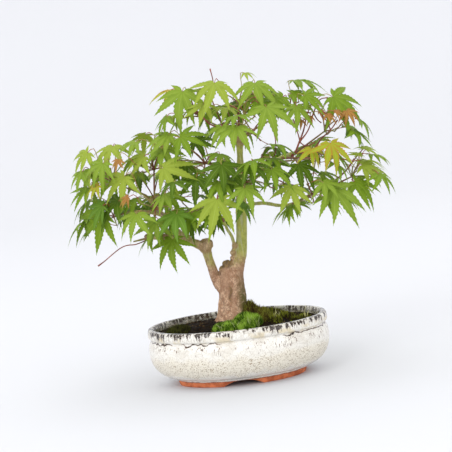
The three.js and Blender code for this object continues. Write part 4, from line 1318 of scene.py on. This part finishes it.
def maple_bark(settings):
    """Living maple bark: scaly pinkish tan where old, and where young smooth olive with grey lines"""
    material, add, place = new_material("living_maple_bark")
    axes = add("SeparateXYZ", (place,)).outputs
    young = add("Attribute", attribute_name="young").outputs["Fac"]
    wound = add("Attribute", attribute_name="wound").outputs["Fac"]
    patches = add("TexNoise", (place, 1 / BARK_PATCHES, 6, 0.7))
    # Scales twice as tall as they are wide, with darker seams between them
    tall = add("Mapping", {"Vector": place, "Scale": (1, 1, 0.45)})
    scales = add("TexVoronoi", (tall, 1 / BARK_SCALES), feature="DISTANCE_TO_EDGE")
    flecks = add("Mapping", {"Vector": place, "Scale": (1, 1, 0.3)})
    flecks = add("TexNoise", (flecks, 1 / BARK_FLECKS, 2))
    old = painted(
        add, settings.bark, (settings.bark_shade, (patches, 0.39, 0.61)),
        (linear("#6f5340"), (scales, 0.14, 0, 0, 0.55)), (linear("#a27a5e"), (flecks, 0.4, 0.6, 0, 0.65)))
    # Grey lines run up the young wood
    lines = add("Mapping", {"Vector": place, "Scale": (1, 1, 0.08)})
    lines = add("TexNoise", (lines, 1 / YOUNG_LINES, 3))
    smooth = painted(
        add, settings.young_bark, (linear("#9a9c44"), (patches, 0.35, 0.65)),
        (linear("#bcbb98"), (lines, 0.5, 0.62, 0, 0.6)))
    # Dark scar colours, also laid in the trunk's crease as partly painted shade
    scar = painted(add, linear("#40301c"), (linear("#86703f"), (patches, 0.44, 0.58)))
    # An olive film on the right of the trunk, above the moss, and painted shade on that side
    middle = POT_MIDDLE[0] / MM
    colour = painted(
        add, old, (smooth, young), (scar, wound),
        (linear("#5c5424"), (axes["X"], middle, middle + 8), (axes["Z"], 100, 70),
         (patches, 0.34, 0.52, 0.4, 1)))
    grain = add("TexNoise", (tall, 1 / BARK_GRAIN, 3))
    relief = add("Math", (overlap(add, (scales, 0.16, 0.02)), -0.6, grain), operation="MULTIPLY_ADD")
    bump = add("Bump", {"Height": relief, "Strength": 0.8, "Distance": 0.4 * MM})
    surface = add("BsdfPrincipled", {
        "Base Color": colour, "Roughness": overlap(add, (young, 0, 1, 0.85, 0.6)), "Normal": bump})
    add("OutputMaterial", (surface,))
    return material


def green_shoot(name, first, second, size):
    """Skin of a young shoot or leaf stalk: smooth and faintly waxy, one colour running into another"""
    material, add, place = new_material(name)
    drifts = add("TexNoise", (place, 1 / size, 3))
    colour = painted(add, linear(first), (linear(second), (drifts, 0.4, 0.6)))
    add("OutputMaterial", (add("BsdfPrincipled", {"Base Color": colour, "Roughness": 0.5}),))
    return material


def leaf_blade(tint):
    """A thin matt leaf that lets some light through, with paler ribs. Young ones redden at the edge."""
    main, edge = (linear(colour) for colour in TINTS[tint][:2])
    material, add, place = new_material("maple_leaf_" + tint)
    rib = add("Attribute", attribute_name="rib").outputs["Fac"]
    mottle = add("TexNoise", (place, 1 / LEAF_MOTTLE, 3))
    colour = painted(
        add, main, (edge, (mottle, 0.4, 0.75, 0, 0.4)), (edge, (rib, 0.5, 0, 0, 0.7)),
        (linear("#c9dd7a"), (rib, 0.86, 1, 0, 0.16)))
    bump = add("Bump", {"Height": rib, "Strength": 0.4, "Distance": 0.3 * MM})
    opaque = add("BsdfPrincipled", {"Base Color": colour, "Roughness": 0.5, "Specular IOR Level": 0.14,
                                    "Normal": bump})
    blade = add("MixShader", (LEAF_GLOW, opaque, add("BsdfTranslucent", {"Color": colour})))
    add("OutputMaterial", (blade,))
    return material


def world(place):
    """A place in millimetres from the middle of the pot's foot, in metres in the frame"""
    return np.array(place, float) * MM + POT_MIDDLE


def bend(start, control, end, steps):
    """The points of a curve from start to end that leans towards control, without its start"""
    share = np.arange(1, steps + 1)[:, None] / steps
    start, control, end = np.array(start, float), np.array(control, float), np.array(end, float)
    return ((1 - share) ** 2 * start + 2 * share * (1 - share) * control + share ** 2 * end).tolist()


def straight(start, end, steps):
    """The points of a straight line from start to end, without its start"""
    start, end = np.array(start), np.array(end)
    return [list(start + (end - start) * step / steps) for step in range(1, steps + 1)]


def width_share(radius):
    """The width of the pot's oval for its length, where it is half so long"""
    half = max(radius, FOOT_HALF - FOOT_WALL)
    return (half - NARROWER) / half


def oval_ring(radius, height, count=OVAL_SEGMENTS):
    """One ring of the oval pot"""
    turns = np.arange(count) * 2 * math.pi / count
    return np.column_stack([radius * np.cos(turns), radius * width_share(radius) * np.sin(turns),
                            np.full(count, float(height))])


def lathe(profile, count=OVAL_SEGMENTS):
    """An oval skin through a profile that starts and ends on the middle"""
    rings = [oval_ring(*row, count) for row in profile[1:-1]]
    points = np.vstack([*rings, (0, 0, profile[0][1]), (0, 0, profile[-1][1])])
    foot, last = len(rings) * count, (len(rings) - 1) * count
    caps = [((side + 1) % count, side, foot) for side in range(count)]
    caps += [(last + side, last + (side + 1) % count, foot + 1) for side in range(count)]
    return points, band_faces(len(rings), count) + caps


def inside_wall(clearance, top):
    """Profile of the pot's inside, from the middle of its floor up its wall to the given height"""
    wall = BELLY_HALF - WALL - clearance
    floor = FLOOR + clearance
    belly, end = (wall - WALL_LEAN[0], BELLY_HEIGHT), (wall - WALL_LEAN[1], top)
    return [(0, floor), (20, floor), (FLOOR_HALF, floor),
            *bend((FLOOR_HALF, floor), (wall, floor + 1), belly, 8), *straight(belly, end, 6)]


def ground_height(radius):
    """Height of the ground where the pot's oval has the given half length"""
    return np.interp(radius, *zip(*GROUND_PROFILE))


def oval_reach(x, y):
    """Half length of the pot's oval that passes through a place"""
    low, high = 0.0, BELLY_HALF
    for _ in range(24):
        middle = (low + high) / 2
        if math.hypot(x, y / width_share(middle)) > middle:
            low = middle
        else:
            high = middle
    return high


def remesh(points, faces, voxel, smoothings):
    """One even skin round overlapping solids: its points, its faces and the normals of its points"""
    mesh = bpy.data.meshes.new("rough")
    mesh.from_pydata(points.tolist(), [], faces)
    rough = bpy.data.objects.new("rough", mesh)
    bpy.context.scene.collection.objects.link(rough)
    even = rough.modifiers.new("even", "REMESH")
    even.mode, even.voxel_size = "VOXEL", voxel
    soft = rough.modifiers.new("soft", "SMOOTH")
    soft.factor, soft.iterations = 0.5, smoothings
    skin = bpy.data.meshes.new_from_object(rough.evaluated_get(bpy.context.evaluated_depsgraph_get()))
    even_points, normals = np.zeros(len(skin.vertices) * 3), np.zeros(len(skin.vertices) * 3)
    skin.vertices.foreach_get("co", even_points)
    skin.vertex_normals.foreach_get("vector", normals)
    even_faces = [tuple(face.vertices) for face in skin.polygons]
    bpy.data.objects.remove(rough)
    bpy.data.meshes.remove(mesh)
    bpy.data.meshes.remove(skin)
    return even_points.reshape(-1, 3), even_faces, normals.reshape(-1, 3)


def make_pot(settings):
    """The pot: a glazed body with a rolled lip over a groove, on a bare foot ring arched front and back"""
    inner, outer, edge = FOOT_HALF - FOOT_WALL, FOOT_HALF + FOOT_FLARE, FOOT_HEIGHT - GLAZE_LAP
    rolled = (outer + GLAZE_ROLL[0], edge + GLAZE_ROLL[1])
    hollow, heel = (inner - FOOT_TAPER, FOOT_HEIGHT), (FOOT_HALF - FOOT_TAPER, 0)
    foot = [(0, FOOT_HEIGHT), *straight((0, FOOT_HEIGHT), hollow, 5), *straight(hollow, (inner, 0), 5),
            *straight((inner, 0), heel, 2), *straight(heel, (outer, edge), 5)]
    belly, groove = (BELLY_HALF, BELLY_HEIGHT), (GROOVE_HALF, GROOVE_HEIGHT)
    lip = (LIP_HALF, LIP_FOOT + LIP_ROUND)
    body = [*bend((outer, edge), (rolled[0], edge), rolled, 4),
            *bend(rolled, BELLY_LEAN, belly, 22),
            *bend(belly, (BELLY_HALF, GROOVE_HEIGHT - LIP_ROUND), groove, 8),
            *straight(groove, (GROOVE_HALF, LIP_FOOT), 2),
            *bend((GROOVE_HALF, LIP_FOOT), (LIP_HALF, LIP_FOOT), lip, 5),
            *bend(lip, (LIP_HALF, POT_HEIGHT), (GROOVE_HALF, POT_HEIGHT), 7),
            *straight((GROOVE_HALF, POT_HEIGHT), (BELLY_HALF - RIM_WALL, POT_HEIGHT), 2)]
    inside = inside_wall(0, POT_HEIGHT - LIP_ROUND)[::-1]
    points, faces = lathe(foot + body + inside)
    part = np.repeat([0] * (len(foot) - 1) + [1] * len(body) + [2] * (len(inside) - 1), OVAL_SEGMENTS)
    part = np.concatenate([part, (0, 2)])
    # The arches raise the foot ring at front and back
    arch = ARCH_HEIGHT * np.clip(1 - (np.abs(points[:, 0]) / (ARCH_WIDTH / 2)) ** ARCH_ROUNDNESS, 0, 1)
    raised = arch + (FOOT_HEIGHT - arch) * points[:, 2] / FOOT_HEIGHT
    points[:, 2] = np.where(part == 0, raised, points[:, 2])
    # Hand-made unevenness, and a lower edge where the glaze ran and stopped
    across = np.hypot(points[:, 0], points[:, 1])
    uneven = sum(depth * ripple(points, width) for depth, width in UNEVEN)
    points[:, :2] *= 1 + ((part == 1) * uneven / np.maximum(across, 1))[:, None]
    depth, width, reach = GLAZE_WAVES
    runs = np.exp(-((points[:, 2] - FOOT_HEIGHT) / reach) ** 2) * (part == 1)
    points[:, 2] += depth * ripple(points, width) * runs
    shell = Shell()
    shell.add(points, faces, value=(part == 2).astype(float))
    shell.slots = [int(part[max(face[:3])] == 0) for face in faces]
    skins = [glazed_stoneware(settings), bare_terracotta(settings)]
    pot = shell.piece("glazed_pot", skins, "glaze", "inside")
    drill_drains(pot)
    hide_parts("pot")


def drill_drains(pot):
    """Cuts the two drain holes through the floor"""
    turns = np.arange(DRAIN_SIDES) * 2 * math.pi / DRAIN_SIDES
    ends = range(DRAIN_SIDES - 1, -1, -1), range(DRAIN_SIDES, 2 * DRAIN_SIDES)
    faces = band_faces(2, DRAIN_SIDES) + [tuple(end) for end in ends]
    for side in (-1, 1):
        ring = np.column_stack([side * DRAIN_SPREAD + DRAIN_RADIUS * np.cos(turns),
                                DRAIN_RADIUS * np.sin(turns)])
        points = np.vstack([np.column_stack([ring, np.full(DRAIN_SIDES, height)])
                            for height in (-DRAIN_PAST, FLOOR + DRAIN_PAST)])
        mesh = bpy.data.meshes.new("drain")
        mesh.from_pydata([world(point) for point in points], [], faces)
        drain = bpy.data.objects.new("drain", mesh)
        bpy.context.scene.collection.objects.link(drain)
        cut = pot.modifiers.new("drain", "BOOLEAN")
        cut.operation, cut.object, cut.solver = "DIFFERENCE", drain, "EXACT"
        drilled = bpy.data.meshes.new_from_object(pot.evaluated_get(bpy.context.evaluated_depsgraph_get()))
        pot.modifiers.clear()
        pot.data = drilled
        bpy.data.objects.remove(drain)


def pebble(draw, size):
    """A small rough stone, flatter than it is wide"""
    turns = np.arange(PEBBLE_SIDES) * 2 * math.pi / PEBBLE_SIDES
    ring = np.column_stack([np.cos(turns), np.sin(turns), np.zeros(PEBBLE_SIDES)])
    points = np.vstack([ring * draw(*PEBBLE_WIDTH), (0, 0, draw(*PEBBLE_TOP)), (0, 0, -PEBBLE_UNDER)])
    points[:PEBBLE_SIDES] *= np.array([[draw(*PEBBLE_UNEVEN)] for _ in range(PEBBLE_SIDES)])
    turn = draw(0, 2 * math.pi)
    along, aside = (math.cos(turn), math.sin(turn), 0), (-math.sin(turn), math.cos(turn), 0)
    faces = [(side, (side + 1) % PEBBLE_SIDES, PEBBLE_SIDES) for side in range(PEBBLE_SIDES)]
    faces += [(after, side, PEBBLE_SIDES + 1) for side, after, _ in faces]
    return points @ np.array((along, aside, UP)) * size, faces


def make_soil():
    """The soil: an uneven dark surface from wall to wall, strewn with grit"""
    edge = GROUND_PROFILE[-1][1]
    top = [(radius, ground_height(radius)) for radius in np.linspace(0, SOIL_HALF, SOIL_RINGS)]
    points, faces = lathe(inside_wall(SOIL_GAP, edge - 1)[:-1] + top[::-1], SOIL_SEGMENTS)
    above = points[:, 2] > edge - 0.2
    points[:, 2] += above * sum(depth * ripple(points, width) for depth, width in SOIL_LUMPS)
    shell = Shell()
    shell.add(points, faces)
    draw = random_source(GRIT_SEED)
    for _ in range(GRIT):
        radius, turn = SOIL_HALF * draw(0.03, 1) ** GRIT_SPREAD - 1, draw(0, 2 * math.pi)
        place = np.array((radius * math.cos(turn), radius * width_share(radius) * math.sin(turn),
                          ground_height(radius) + GRIT_PROUD))
        stone, sides = pebble(draw, draw(*GRIT_SIZES))
        shell.add(stone + place, sides, slot=1 + int(draw(0, len(EARTHS) - 1)))
    soil = shell.piece("potting_soil", [crumbly(*earth) for earth in EARTHS], "soil")
    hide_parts("soil")


def moss_pad(middle, half, rise):
    """A lumpy cushion of moss sunk into the ground"""
    rows, sides = PAD_GRID
    turns = np.arange(sides) * 2 * math.pi / sides
    ball = np.array([(math.cos(up) * math.cos(turn), math.cos(up) * math.sin(turn), math.sin(up))
                     for up in np.linspace(-math.pi / 2, math.pi / 2, rows) for turn in turns])
    lumps, depth = PAD_LUMPS
    lump = 1 + depth * np.sin(lumps * ball[:, 0] + middle[0]) * np.cos(lumps * ball[:, 1] + middle[1])
    ground = ground_height(oval_reach(*middle))
    points = np.column_stack([middle[0] + ball[:, 0] * half[0], middle[1] + ball[:, 1] * half[1],
                              ground + MOSS_DEPTH * (ball[:, 2] - 1) + rise * ball[:, 2] * lump])
    return points, band_faces(rows, sides)


def moss_blade(shell, root, lean, height, width, slot):
    """A narrow three-sided blade, bent a little towards its tip"""
    side = np.cross(lean, UP)
    side /= max(np.linalg.norm(side), 1e-6)
    back = np.cross(side, lean)
    middle, tip = (root + np.array(UP) * height * up + lean * height * out for up, out in MOSS_BEND)
    corners = [root - side * width, root + side * width, root + back * width,
               middle - side * width * 0.8, middle + side * width * 0.8, middle + back * width * 0.5, tip]
    shell.add(corners, [(0, 1, 4, 3), (1, 2, 5, 4), (2, 0, 3, 5), (3, 4, 6), (4, 5, 6), (5, 3, 6)], slot)


def make_moss(name, node, seed, tints, blades):
    """One patch of moss: soft lumpy cushions covered in short blades, with a few taller sprouts"""
    shell, draw = Shell(), random_source(seed)
    rough = Shell()
    for pad in MOSS_PADS[name]:
        rough.add(*moss_pad(*pad))
    points, faces, normals = remesh(np.vstack(rough.points), rough.faces, MOSS_VOXEL, MOSS_SMOOTHINGS)
    lumps = sum(depth * ripple(points, width) for depth, width in MOSS_LUMPS)
    points = points + normals * lumps[:, None]
    shell.add(points, faces)
    reach = np.array([oval_reach(x, y) for x, y in points[:, :2]])
    ground = np.array([ground_height(radius) for radius in reach])
    shown = (points[:, 2] > ground - 0.3) & (normals[:, 2] > -0.1) & (reach < SOIL_HALF - 0.5)
    shown = np.nonzero(shown)[0]
    drifts = ripple(points, MOSS_DRIFTS)
    for _ in range(blades):
        place = shown[int(draw(0, len(shown)))]
        if drifts[place] + draw(-MOSS_EDGE, MOSS_EDGE) < MOSS_BARE:
            continue
        lean = normals[place] + (draw(-MOSS_LEAN, MOSS_LEAN), draw(-MOSS_LEAN, MOSS_LEAN), 0)
        aside = (draw(-MOSS_SCATTER, MOSS_SCATTER), draw(-MOSS_SCATTER, MOSS_SCATTER), -MOSS_SUNK)
        root = points[place] + aside
        # Its tint is one of three, lighter where the drift is higher
        tint = (drifts[place] + draw(-MOSS_MIXED, MOSS_MIXED) - MOSS_DARK) / MOSS_TINT
        slot = 1 + int(np.clip(tint, 0, 2))
        lean /= np.linalg.norm(lean)
        moss_blade(shell, root, lean, draw(*MOSS_LENGTH), draw(*MOSS_HALF), slot)
    for x, y, count in SPROUTS.get(name, ()):
        nearest = shown[np.argmin(np.linalg.norm(points[shown, :2] - (x, y), axis=1))]
        for _ in range(count):
            lean = np.array((draw(-1, 1), draw(-1, 1), 0.3))
            aside = (draw(-TUFT_HALF, TUFT_HALF), draw(-TUFT_HALF, TUFT_HALF), -1)
            root = points[nearest] + aside
            lean /= np.linalg.norm(lean)
            moss_blade(shell, root, lean, draw(*SPROUT_LENGTH), draw(*SPROUT_HALF), len(tints) - 1)
    materials = [crumbly(f"{name}_cushion", tints[0], tints[1], 6, 1)]
    for number, tint in enumerate(tints[1:]):
        materials.append(crumbly(f"{name}_blades_{number}", tint, tint, 3, 0.75))
    patch = shell.piece(name, materials, "moss")
    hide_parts(node)


def make_bark(settings, limbs):
    """Trunk, leader and boughs as one living skin, with scaly bark low down and smooth wood above"""
    rough = Shell()
    for limb in limbs.values():
        rows = limb.axis.even_rows(max(int(limb.axis.length / LIMB_STEP), 4))
        if limb.root:
            rows = np.vstack([limb.root, rows])
        rough.add(*tube(rows, BARK_SIDES, root_flare if limb.name == "trunk" else None))
    rough.add(*tube(Axis(SCAR_AXIS).even_rows(12), BARK_SIDES))
    for (x, y, z), wide, _, _ in WOUNDS:
        rough.add(*tube([(x, y, z + up * wide, share * wide) for up, share in KNOT_PROFILE], 16))
    points, faces, normals = remesh(np.vstack(rough.points), rough.faces, BARK_VOXEL, BARK_SMOOTHINGS)
    young = smooth_step(points[:, 2] + YOUNG_WANDER * ripple(points, 7), *YOUNG_HEIGHTS)
    young *= 1 - ARM_AGE * smooth_step(-points[:, 0], *ARM_START)
    wound = np.zeros(len(points))
    for place, _, size, dark in WOUNDS:
        away = np.linalg.norm(points - place, axis=1) / size
        near = 1 - smooth_step(away, *WOUND_EDGE)
        wound = np.maximum(wound, dark * near)
        young = young * (1 - KNOT_AGE * near)
    # Scales and finer cracks in the old bark, low waves in the young, and rough wounds
    shares = {"old": 1 - young, "young": young, "wound": wound}
    relief = sum(shares[where] * depth * ripple(points * (1, 1, squeeze), width)
                 for where, depth, width, squeeze in BARK_RELIEF)
    height = points[:, 2]
    (top_x, top), (foot_x, foot) = CREASE
    share = np.clip((top - height) / (top - foot), 0, 1)
    waver = CREASE_WAVER[0] * np.sin(height * CREASE_WAVER[1])
    off = points[:, 0] - (top_x + (foot_x - top_x) * share) - waver
    ends = [smooth_step(height, end - CREASE_FADE, end + CREASE_FADE) for end in (foot, top)]
    crease = np.exp(-(off / CREASE_WIDTH) ** 2) * ends[0] * (1 - ends[1]) * (points[:, 1] < 0)
    relief -= CREASE_DEPTH * crease
    # The crease takes the scar's dark colours: partly its own colour, partly painted shade
    wound = np.maximum(wound, CREASE_DARK * crease)
    points = points + normals * relief[:, None]
    shell = Shell()
    shell.add(points, faces, value=young)
    bark = shell.piece("trunk_and_boughs", [maple_bark(settings)], "trunk_bark", "young")
    wounds = bark.data.attributes.new("wound", "FLOAT", "POINT")
    wounds.data.foreach_set("value", wound)
    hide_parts(*limbs)


def swollen_tube(rows, grid):
    """A twig that swells at its foot and at its tip, where leaf stalks part"""
    line = Axis(rows).even_rows(grid[0])
    along = np.linspace(0, 1, grid[0])
    for end, (size, reach) in enumerate((FOOT_SWELLING, TIP_SWELLING)):
        line[:, 3] += line[:, 3] * size * np.exp(-((along - end) / reach) ** 2)
    return tube(line, grid[1])


def make_foliage(settings, limbs):
    """Leaves, their stalks and the twigs that carry them: a piece of each for each part of the crown"""
    masses = place_masses(limbs)
    lengths = (settings.leaf_shortest / MM, settings.leaf_longest / MM)
    grown_masses = grow_crown(limbs, masses, lengths)
    leaf_materials = [leaf_blade(tint) for tint in TINTS]
    slots = {tint: slot for slot, tint in enumerate(TINTS)}
    twig_skin = green_shoot("young_maple_twig", "#8b8446", "#7d4a35", 18)
    shoot_skin = green_shoot("red_maple_shoot", "#9c5340", "#6e3527", 12)
    stalk_skin = green_shoot("maple_leaf_stalk", "#93402e", "#9a8b46", 16)
    grid = BladeGrid()
    for part in CROWN_PARTS:
        leaves, twigs, stalks = Shell(), Shell(), Shell()
        nodes = []
        for mass in masses:
            if not mass.name.startswith(part):
                continue
            nodes.append(f"{mass.name}_foliage")
            stem = mass.axis.even_rows(STEM_GRID[0])
            if mass.root:
                stem = np.vstack([mass.root, stem])
            twigs.add(*tube(stem, STEM_GRID[1]))
            draw = random_source(mass.seed * LOBE_SEED)
            grown = grown_masses[mass.name]
            for rows in grown.twigs:
                twigs.add(*swollen_tube(rows, TWIG_GRID))
            for leaf in grown.leaves:
                stalks.add(*tube(Axis(leaf.rows).even_rows(STALK_GRID[0]), STALK_GRID[1]))
                flat, ribs = grid.points(draw, leaf.bend)
                points = flat * leaf.length @ np.array((leaf.tip, leaf.across, leaf.normal))
                leaves.add(np.array(leaf.base) + points, grid.faces, slots[leaf.tint], ribs)
        for place, radius, line in SHOOTS:
            if place == part:
                rows = [(*point, radius - (radius - TIP_RADIUS) * step / (len(line) - 1))
                        for step, point in enumerate(line)]
                twigs.add(*swollen_tube(rows, SHOOT_GRID), slot=1)
        pieces = (leaves.piece(f"{part}_leaves", leaf_materials, "foliage", "rib"),
                  twigs.piece(f"{part}_twigs", [twig_skin, shoot_skin], "bough_bark"),
                  stalks.piece(f"{part}_leaf_stalks", [stalk_skin], "foliage"))
        for piece in pieces:
            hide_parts(*nodes)


def matt_paper(settings):
    """Matt paper, of one tint where it lies and one where it rises"""
    material, add, place = new_material("matt_white_paper")
    height = add("SeparateXYZ", (place,)).outputs["Z"]
    colour = painted(add, settings.floor, (settings.wall, (height, -50, 500)))
    add("OutputMaterial", (add("BsdfPrincipled", {"Base Color": colour, "Roughness": 0.95}),))
    return material


def make_floor(settings):
    """A pale floor that rises all round out of view"""
    turns = np.arange(FLOOR_SIDES) * 2 * math.pi / FLOOR_SIDES
    rows = [(FLOOR_REACH * share, 0) for share in (0.25, 0.5, 1)]
    rows += [(FLOOR_REACH + FLOOR_RISE * math.sin(up), FLOOR_RISE * (1 - math.cos(up)))
             for up in np.linspace(0.1, 1.4, 14)]
    points = [(radius * math.cos(turn), radius * math.sin(turn), height)
              for radius, height in rows for turn in turns]
    faces = [face[::-1] for face in band_faces(len(rows), FLOOR_SIDES)]
    faces += [(len(points), side, (side + 1) % FLOOR_SIDES) for side in range(FLOOR_SIDES)]
    mesh = bpy.data.meshes.new("floor")
    mesh.from_pydata([*points, (0, 0, 0)], [], faces)
    mesh.polygons.foreach_set("use_smooth", [True] * len(mesh.polygons))
    mesh.materials.append(matt_paper(settings))
    floor = bpy.data.objects.new("floor", mesh)
    bpy.context.scene.collection.objects.link(floor)
    floor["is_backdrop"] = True


def make_lights(settings):
    """White light from all round, and the soft lamps"""
    scene = bpy.context.scene
    scene.view_settings.view_transform = "Standard"
    sky = bpy.data.worlds.new("studio")
    sky.use_nodes = True
    sky.node_tree.nodes["Background"].inputs["Color"].default_value = linear("#ffffff")
    sky.node_tree.nodes["Background"].inputs["Strength"].default_value = settings.surround
    scene.world = sky
    for name, place, size, power in LAMPS:
        light = bpy.data.lights.new(name, "AREA")
        light.shape, light.size, light.energy = "DISK", size, power * settings.lamps
        lamp = bpy.data.objects.new(name, light)
        scene.collection.objects.link(lamp)
        lamp.location = place
        lamp.rotation_euler = (Vector(LAMP_AIM) - Vector(place)).to_track_quat("-Z", "Y").to_euler()
        lamp.visible_camera = False


def make_camera():
    """The camera at the photograph's angle, with its own roll"""
    data = bpy.data.cameras.new("camera")
    data.sensor_width, data.lens = 36, LENS
    data.clip_start, data.clip_end = 0.05, 30
    camera = bpy.data.objects.new("camera", data)
    bpy.context.scene.collection.objects.link(camera)
    forward = Vector((0, math.cos(CAMERA_ELEVATION), -math.sin(CAMERA_ELEVATION)))
    level = Vector((1, 0, 0))
    upright = level.cross(forward)
    across = level * math.cos(CAMERA_ROLL) - upright * math.sin(CAMERA_ROLL)
    up = upright * math.cos(CAMERA_ROLL) + level * math.sin(CAMERA_ROLL)
    place = Vector(world(CAMERA_AIM)) - forward * CAMERA_DISTANCE
    camera.matrix_world = Matrix((
        (across.x, up.x, -forward.x, place.x), (across.y, up.y, -forward.y, place.y),
        (across.z, up.z, -forward.z, place.z), (0, 0, 0, 1)))
    bpy.context.scene.camera = camera


def colour_property(name, description, colour):
    return FloatVectorProperty(name=name, description=description, default=linear(colour), size=4,
                               subtype="COLOR", min=0, max=1)


class MaplePot(bpy.types.PropertyGroup):
    glaze: colour_property("Glaze", "Cream of the glaze where it is thick", "#ebe8e0")
    glaze_shade: colour_property("Thin glaze", "Beige of the glaze where it is thin", "#e4decf")
    speck: colour_property("Specks", "Iron specks in the glaze", "#8d7654")
    # This colour also paints the crack and the painted shade in the groove under the lip
    dashes: colour_property("Dashes", "Dark breaks in the glaze on the lip", "#32271f")
    clay: colour_property("Clay", "Bare clay of the foot", "#ee8a58")


class MapleTree(bpy.types.PropertyGroup):
    bark: colour_property("Old bark", "Bark of the trunk", "#dab596")
    bark_shade: colour_property("Bark shade", "Darker patches of the trunk's bark", "#a87e60")
    young_bark: colour_property("Young bark", "Olive bark of the leader and the boughs", "#b8b858")
    leaf_shortest: FloatProperty(name="Shortest leaf", description="Length of the smallest full-grown leaf",
                                 default=0.023, unit="LENGTH", min=0.01, max=0.05)
    leaf_longest: FloatProperty(name="Longest leaf", description="Length of the largest leaf",
                                default=0.035, unit="LENGTH", min=0.01, max=0.05)
    moss_blades: IntProperty(name="Moss blades", description="How many blades the moss grows",
                             default=9000, min=0, max=40000)


class MapleStage(bpy.types.PropertyGroup):
    floor: colour_property("Floor", "Colour of the pale floor", "#d3d4d8")
    wall: colour_property("Wall", "Colour of the floor where it rises out of view", "#d5d6da")
    surround: FloatProperty(name="Surround", description="Strength of the light from all round",
                            default=1.34, min=0, max=4)
    lamps: FloatProperty(name="Lamps", description="Strength of the soft lamps", default=0.8, min=0, max=10)


class MAPLE_OT_pot(bpy.types.Operator):
    """Builds the glazed oval pot"""
    bl_idname = "maple.pot"
    bl_label = "Pot"

    def execute(self, context):
        make_pot(context.scene.maple_pot)
        return {"FINISHED"}


class MAPLE_OT_soil(bpy.types.Operator):
    """Fills the pot with soil and grit"""
    bl_idname = "maple.soil"
    bl_label = "Soil"

    def execute(self, context):
        make_soil()
        return {"FINISHED"}


class MAPLE_OT_moss(bpy.types.Operator):
    """Lays the moss on the soil"""
    bl_idname = "maple.moss"
    bl_label = "Moss"

    def execute(self, context):
        for name, (node, seed, sharing, tints) in MOSSES.items():
            make_moss(name, node, seed, tints, context.scene.maple_tree.moss_blades // sharing)
        return {"FINISHED"}


class MAPLE_OT_wood(bpy.types.Operator):
    """Grows the trunk and its boughs"""
    bl_idname = "maple.wood"
    bl_label = "Trunk and boughs"

    def execute(self, context):
        make_bark(context.scene.maple_tree, grow_limbs())
        return {"FINISHED"}


class MAPLE_OT_foliage(bpy.types.Operator):
    """Grows the twigs, leaf stalks and leaves"""
    bl_idname = "maple.foliage"
    bl_label = "Foliage"

    def execute(self, context):
        make_foliage(context.scene.maple_tree, grow_limbs())
        return {"FINISHED"}


class MAPLE_OT_stage(bpy.types.Operator):
    """Sets up the floor, the lights and the camera"""
    bl_idname = "maple.stage"
    bl_label = "Stage"

    def execute(self, context):
        make_floor(context.scene.maple_stage)
        make_lights(context.scene.maple_stage)
        make_camera()
        return {"FINISHED"}


OPERATORS = (MAPLE_OT_pot, MAPLE_OT_soil, MAPLE_OT_moss, MAPLE_OT_wood, MAPLE_OT_foliage, MAPLE_OT_stage)
SETTINGS = {"maple_pot": MaplePot, "maple_tree": MapleTree, "maple_stage": MapleStage}


class MAPLE_PT_panel(bpy.types.Panel):
    """Everything that the maple is built from"""
    bl_label = "Japanese maple"
    bl_space_type = "VIEW_3D"
    bl_region_type = "UI"
    bl_category = "Maple"

    def draw(self, context):
        for name, group in SETTINGS.items():
            box = self.layout.box()
            for setting in group.__annotations__:
                box.prop(getattr(context.scene, name), setting)
        for operator in OPERATORS:
            self.layout.operator(operator.bl_idname)


def register():
    for entry in (*SETTINGS.values(), *OPERATORS, MAPLE_PT_panel):
        bpy.utils.register_class(entry)
    for name, group in SETTINGS.items():
        setattr(bpy.types.Scene, name, PointerProperty(type=group))


def unregister():
    for name in SETTINGS:
        delattr(bpy.types.Scene, name)
    for entry in reversed((*SETTINGS.values(), *OPERATORS, MAPLE_PT_panel)):
        bpy.utils.unregister_class(entry)


def main():
    register()
    for build in (bpy.ops.maple.pot, bpy.ops.maple.soil, bpy.ops.maple.moss, bpy.ops.maple.wood,
                  bpy.ops.maple.foliage, bpy.ops.maple.stage):
        build()
    boxes = {"cad": CAD_BOX, "visual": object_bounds()}
    {name: [list(corner) for corner in corners] for name, corners in boxes.items()}


if __name__ == "__main__":
    main()
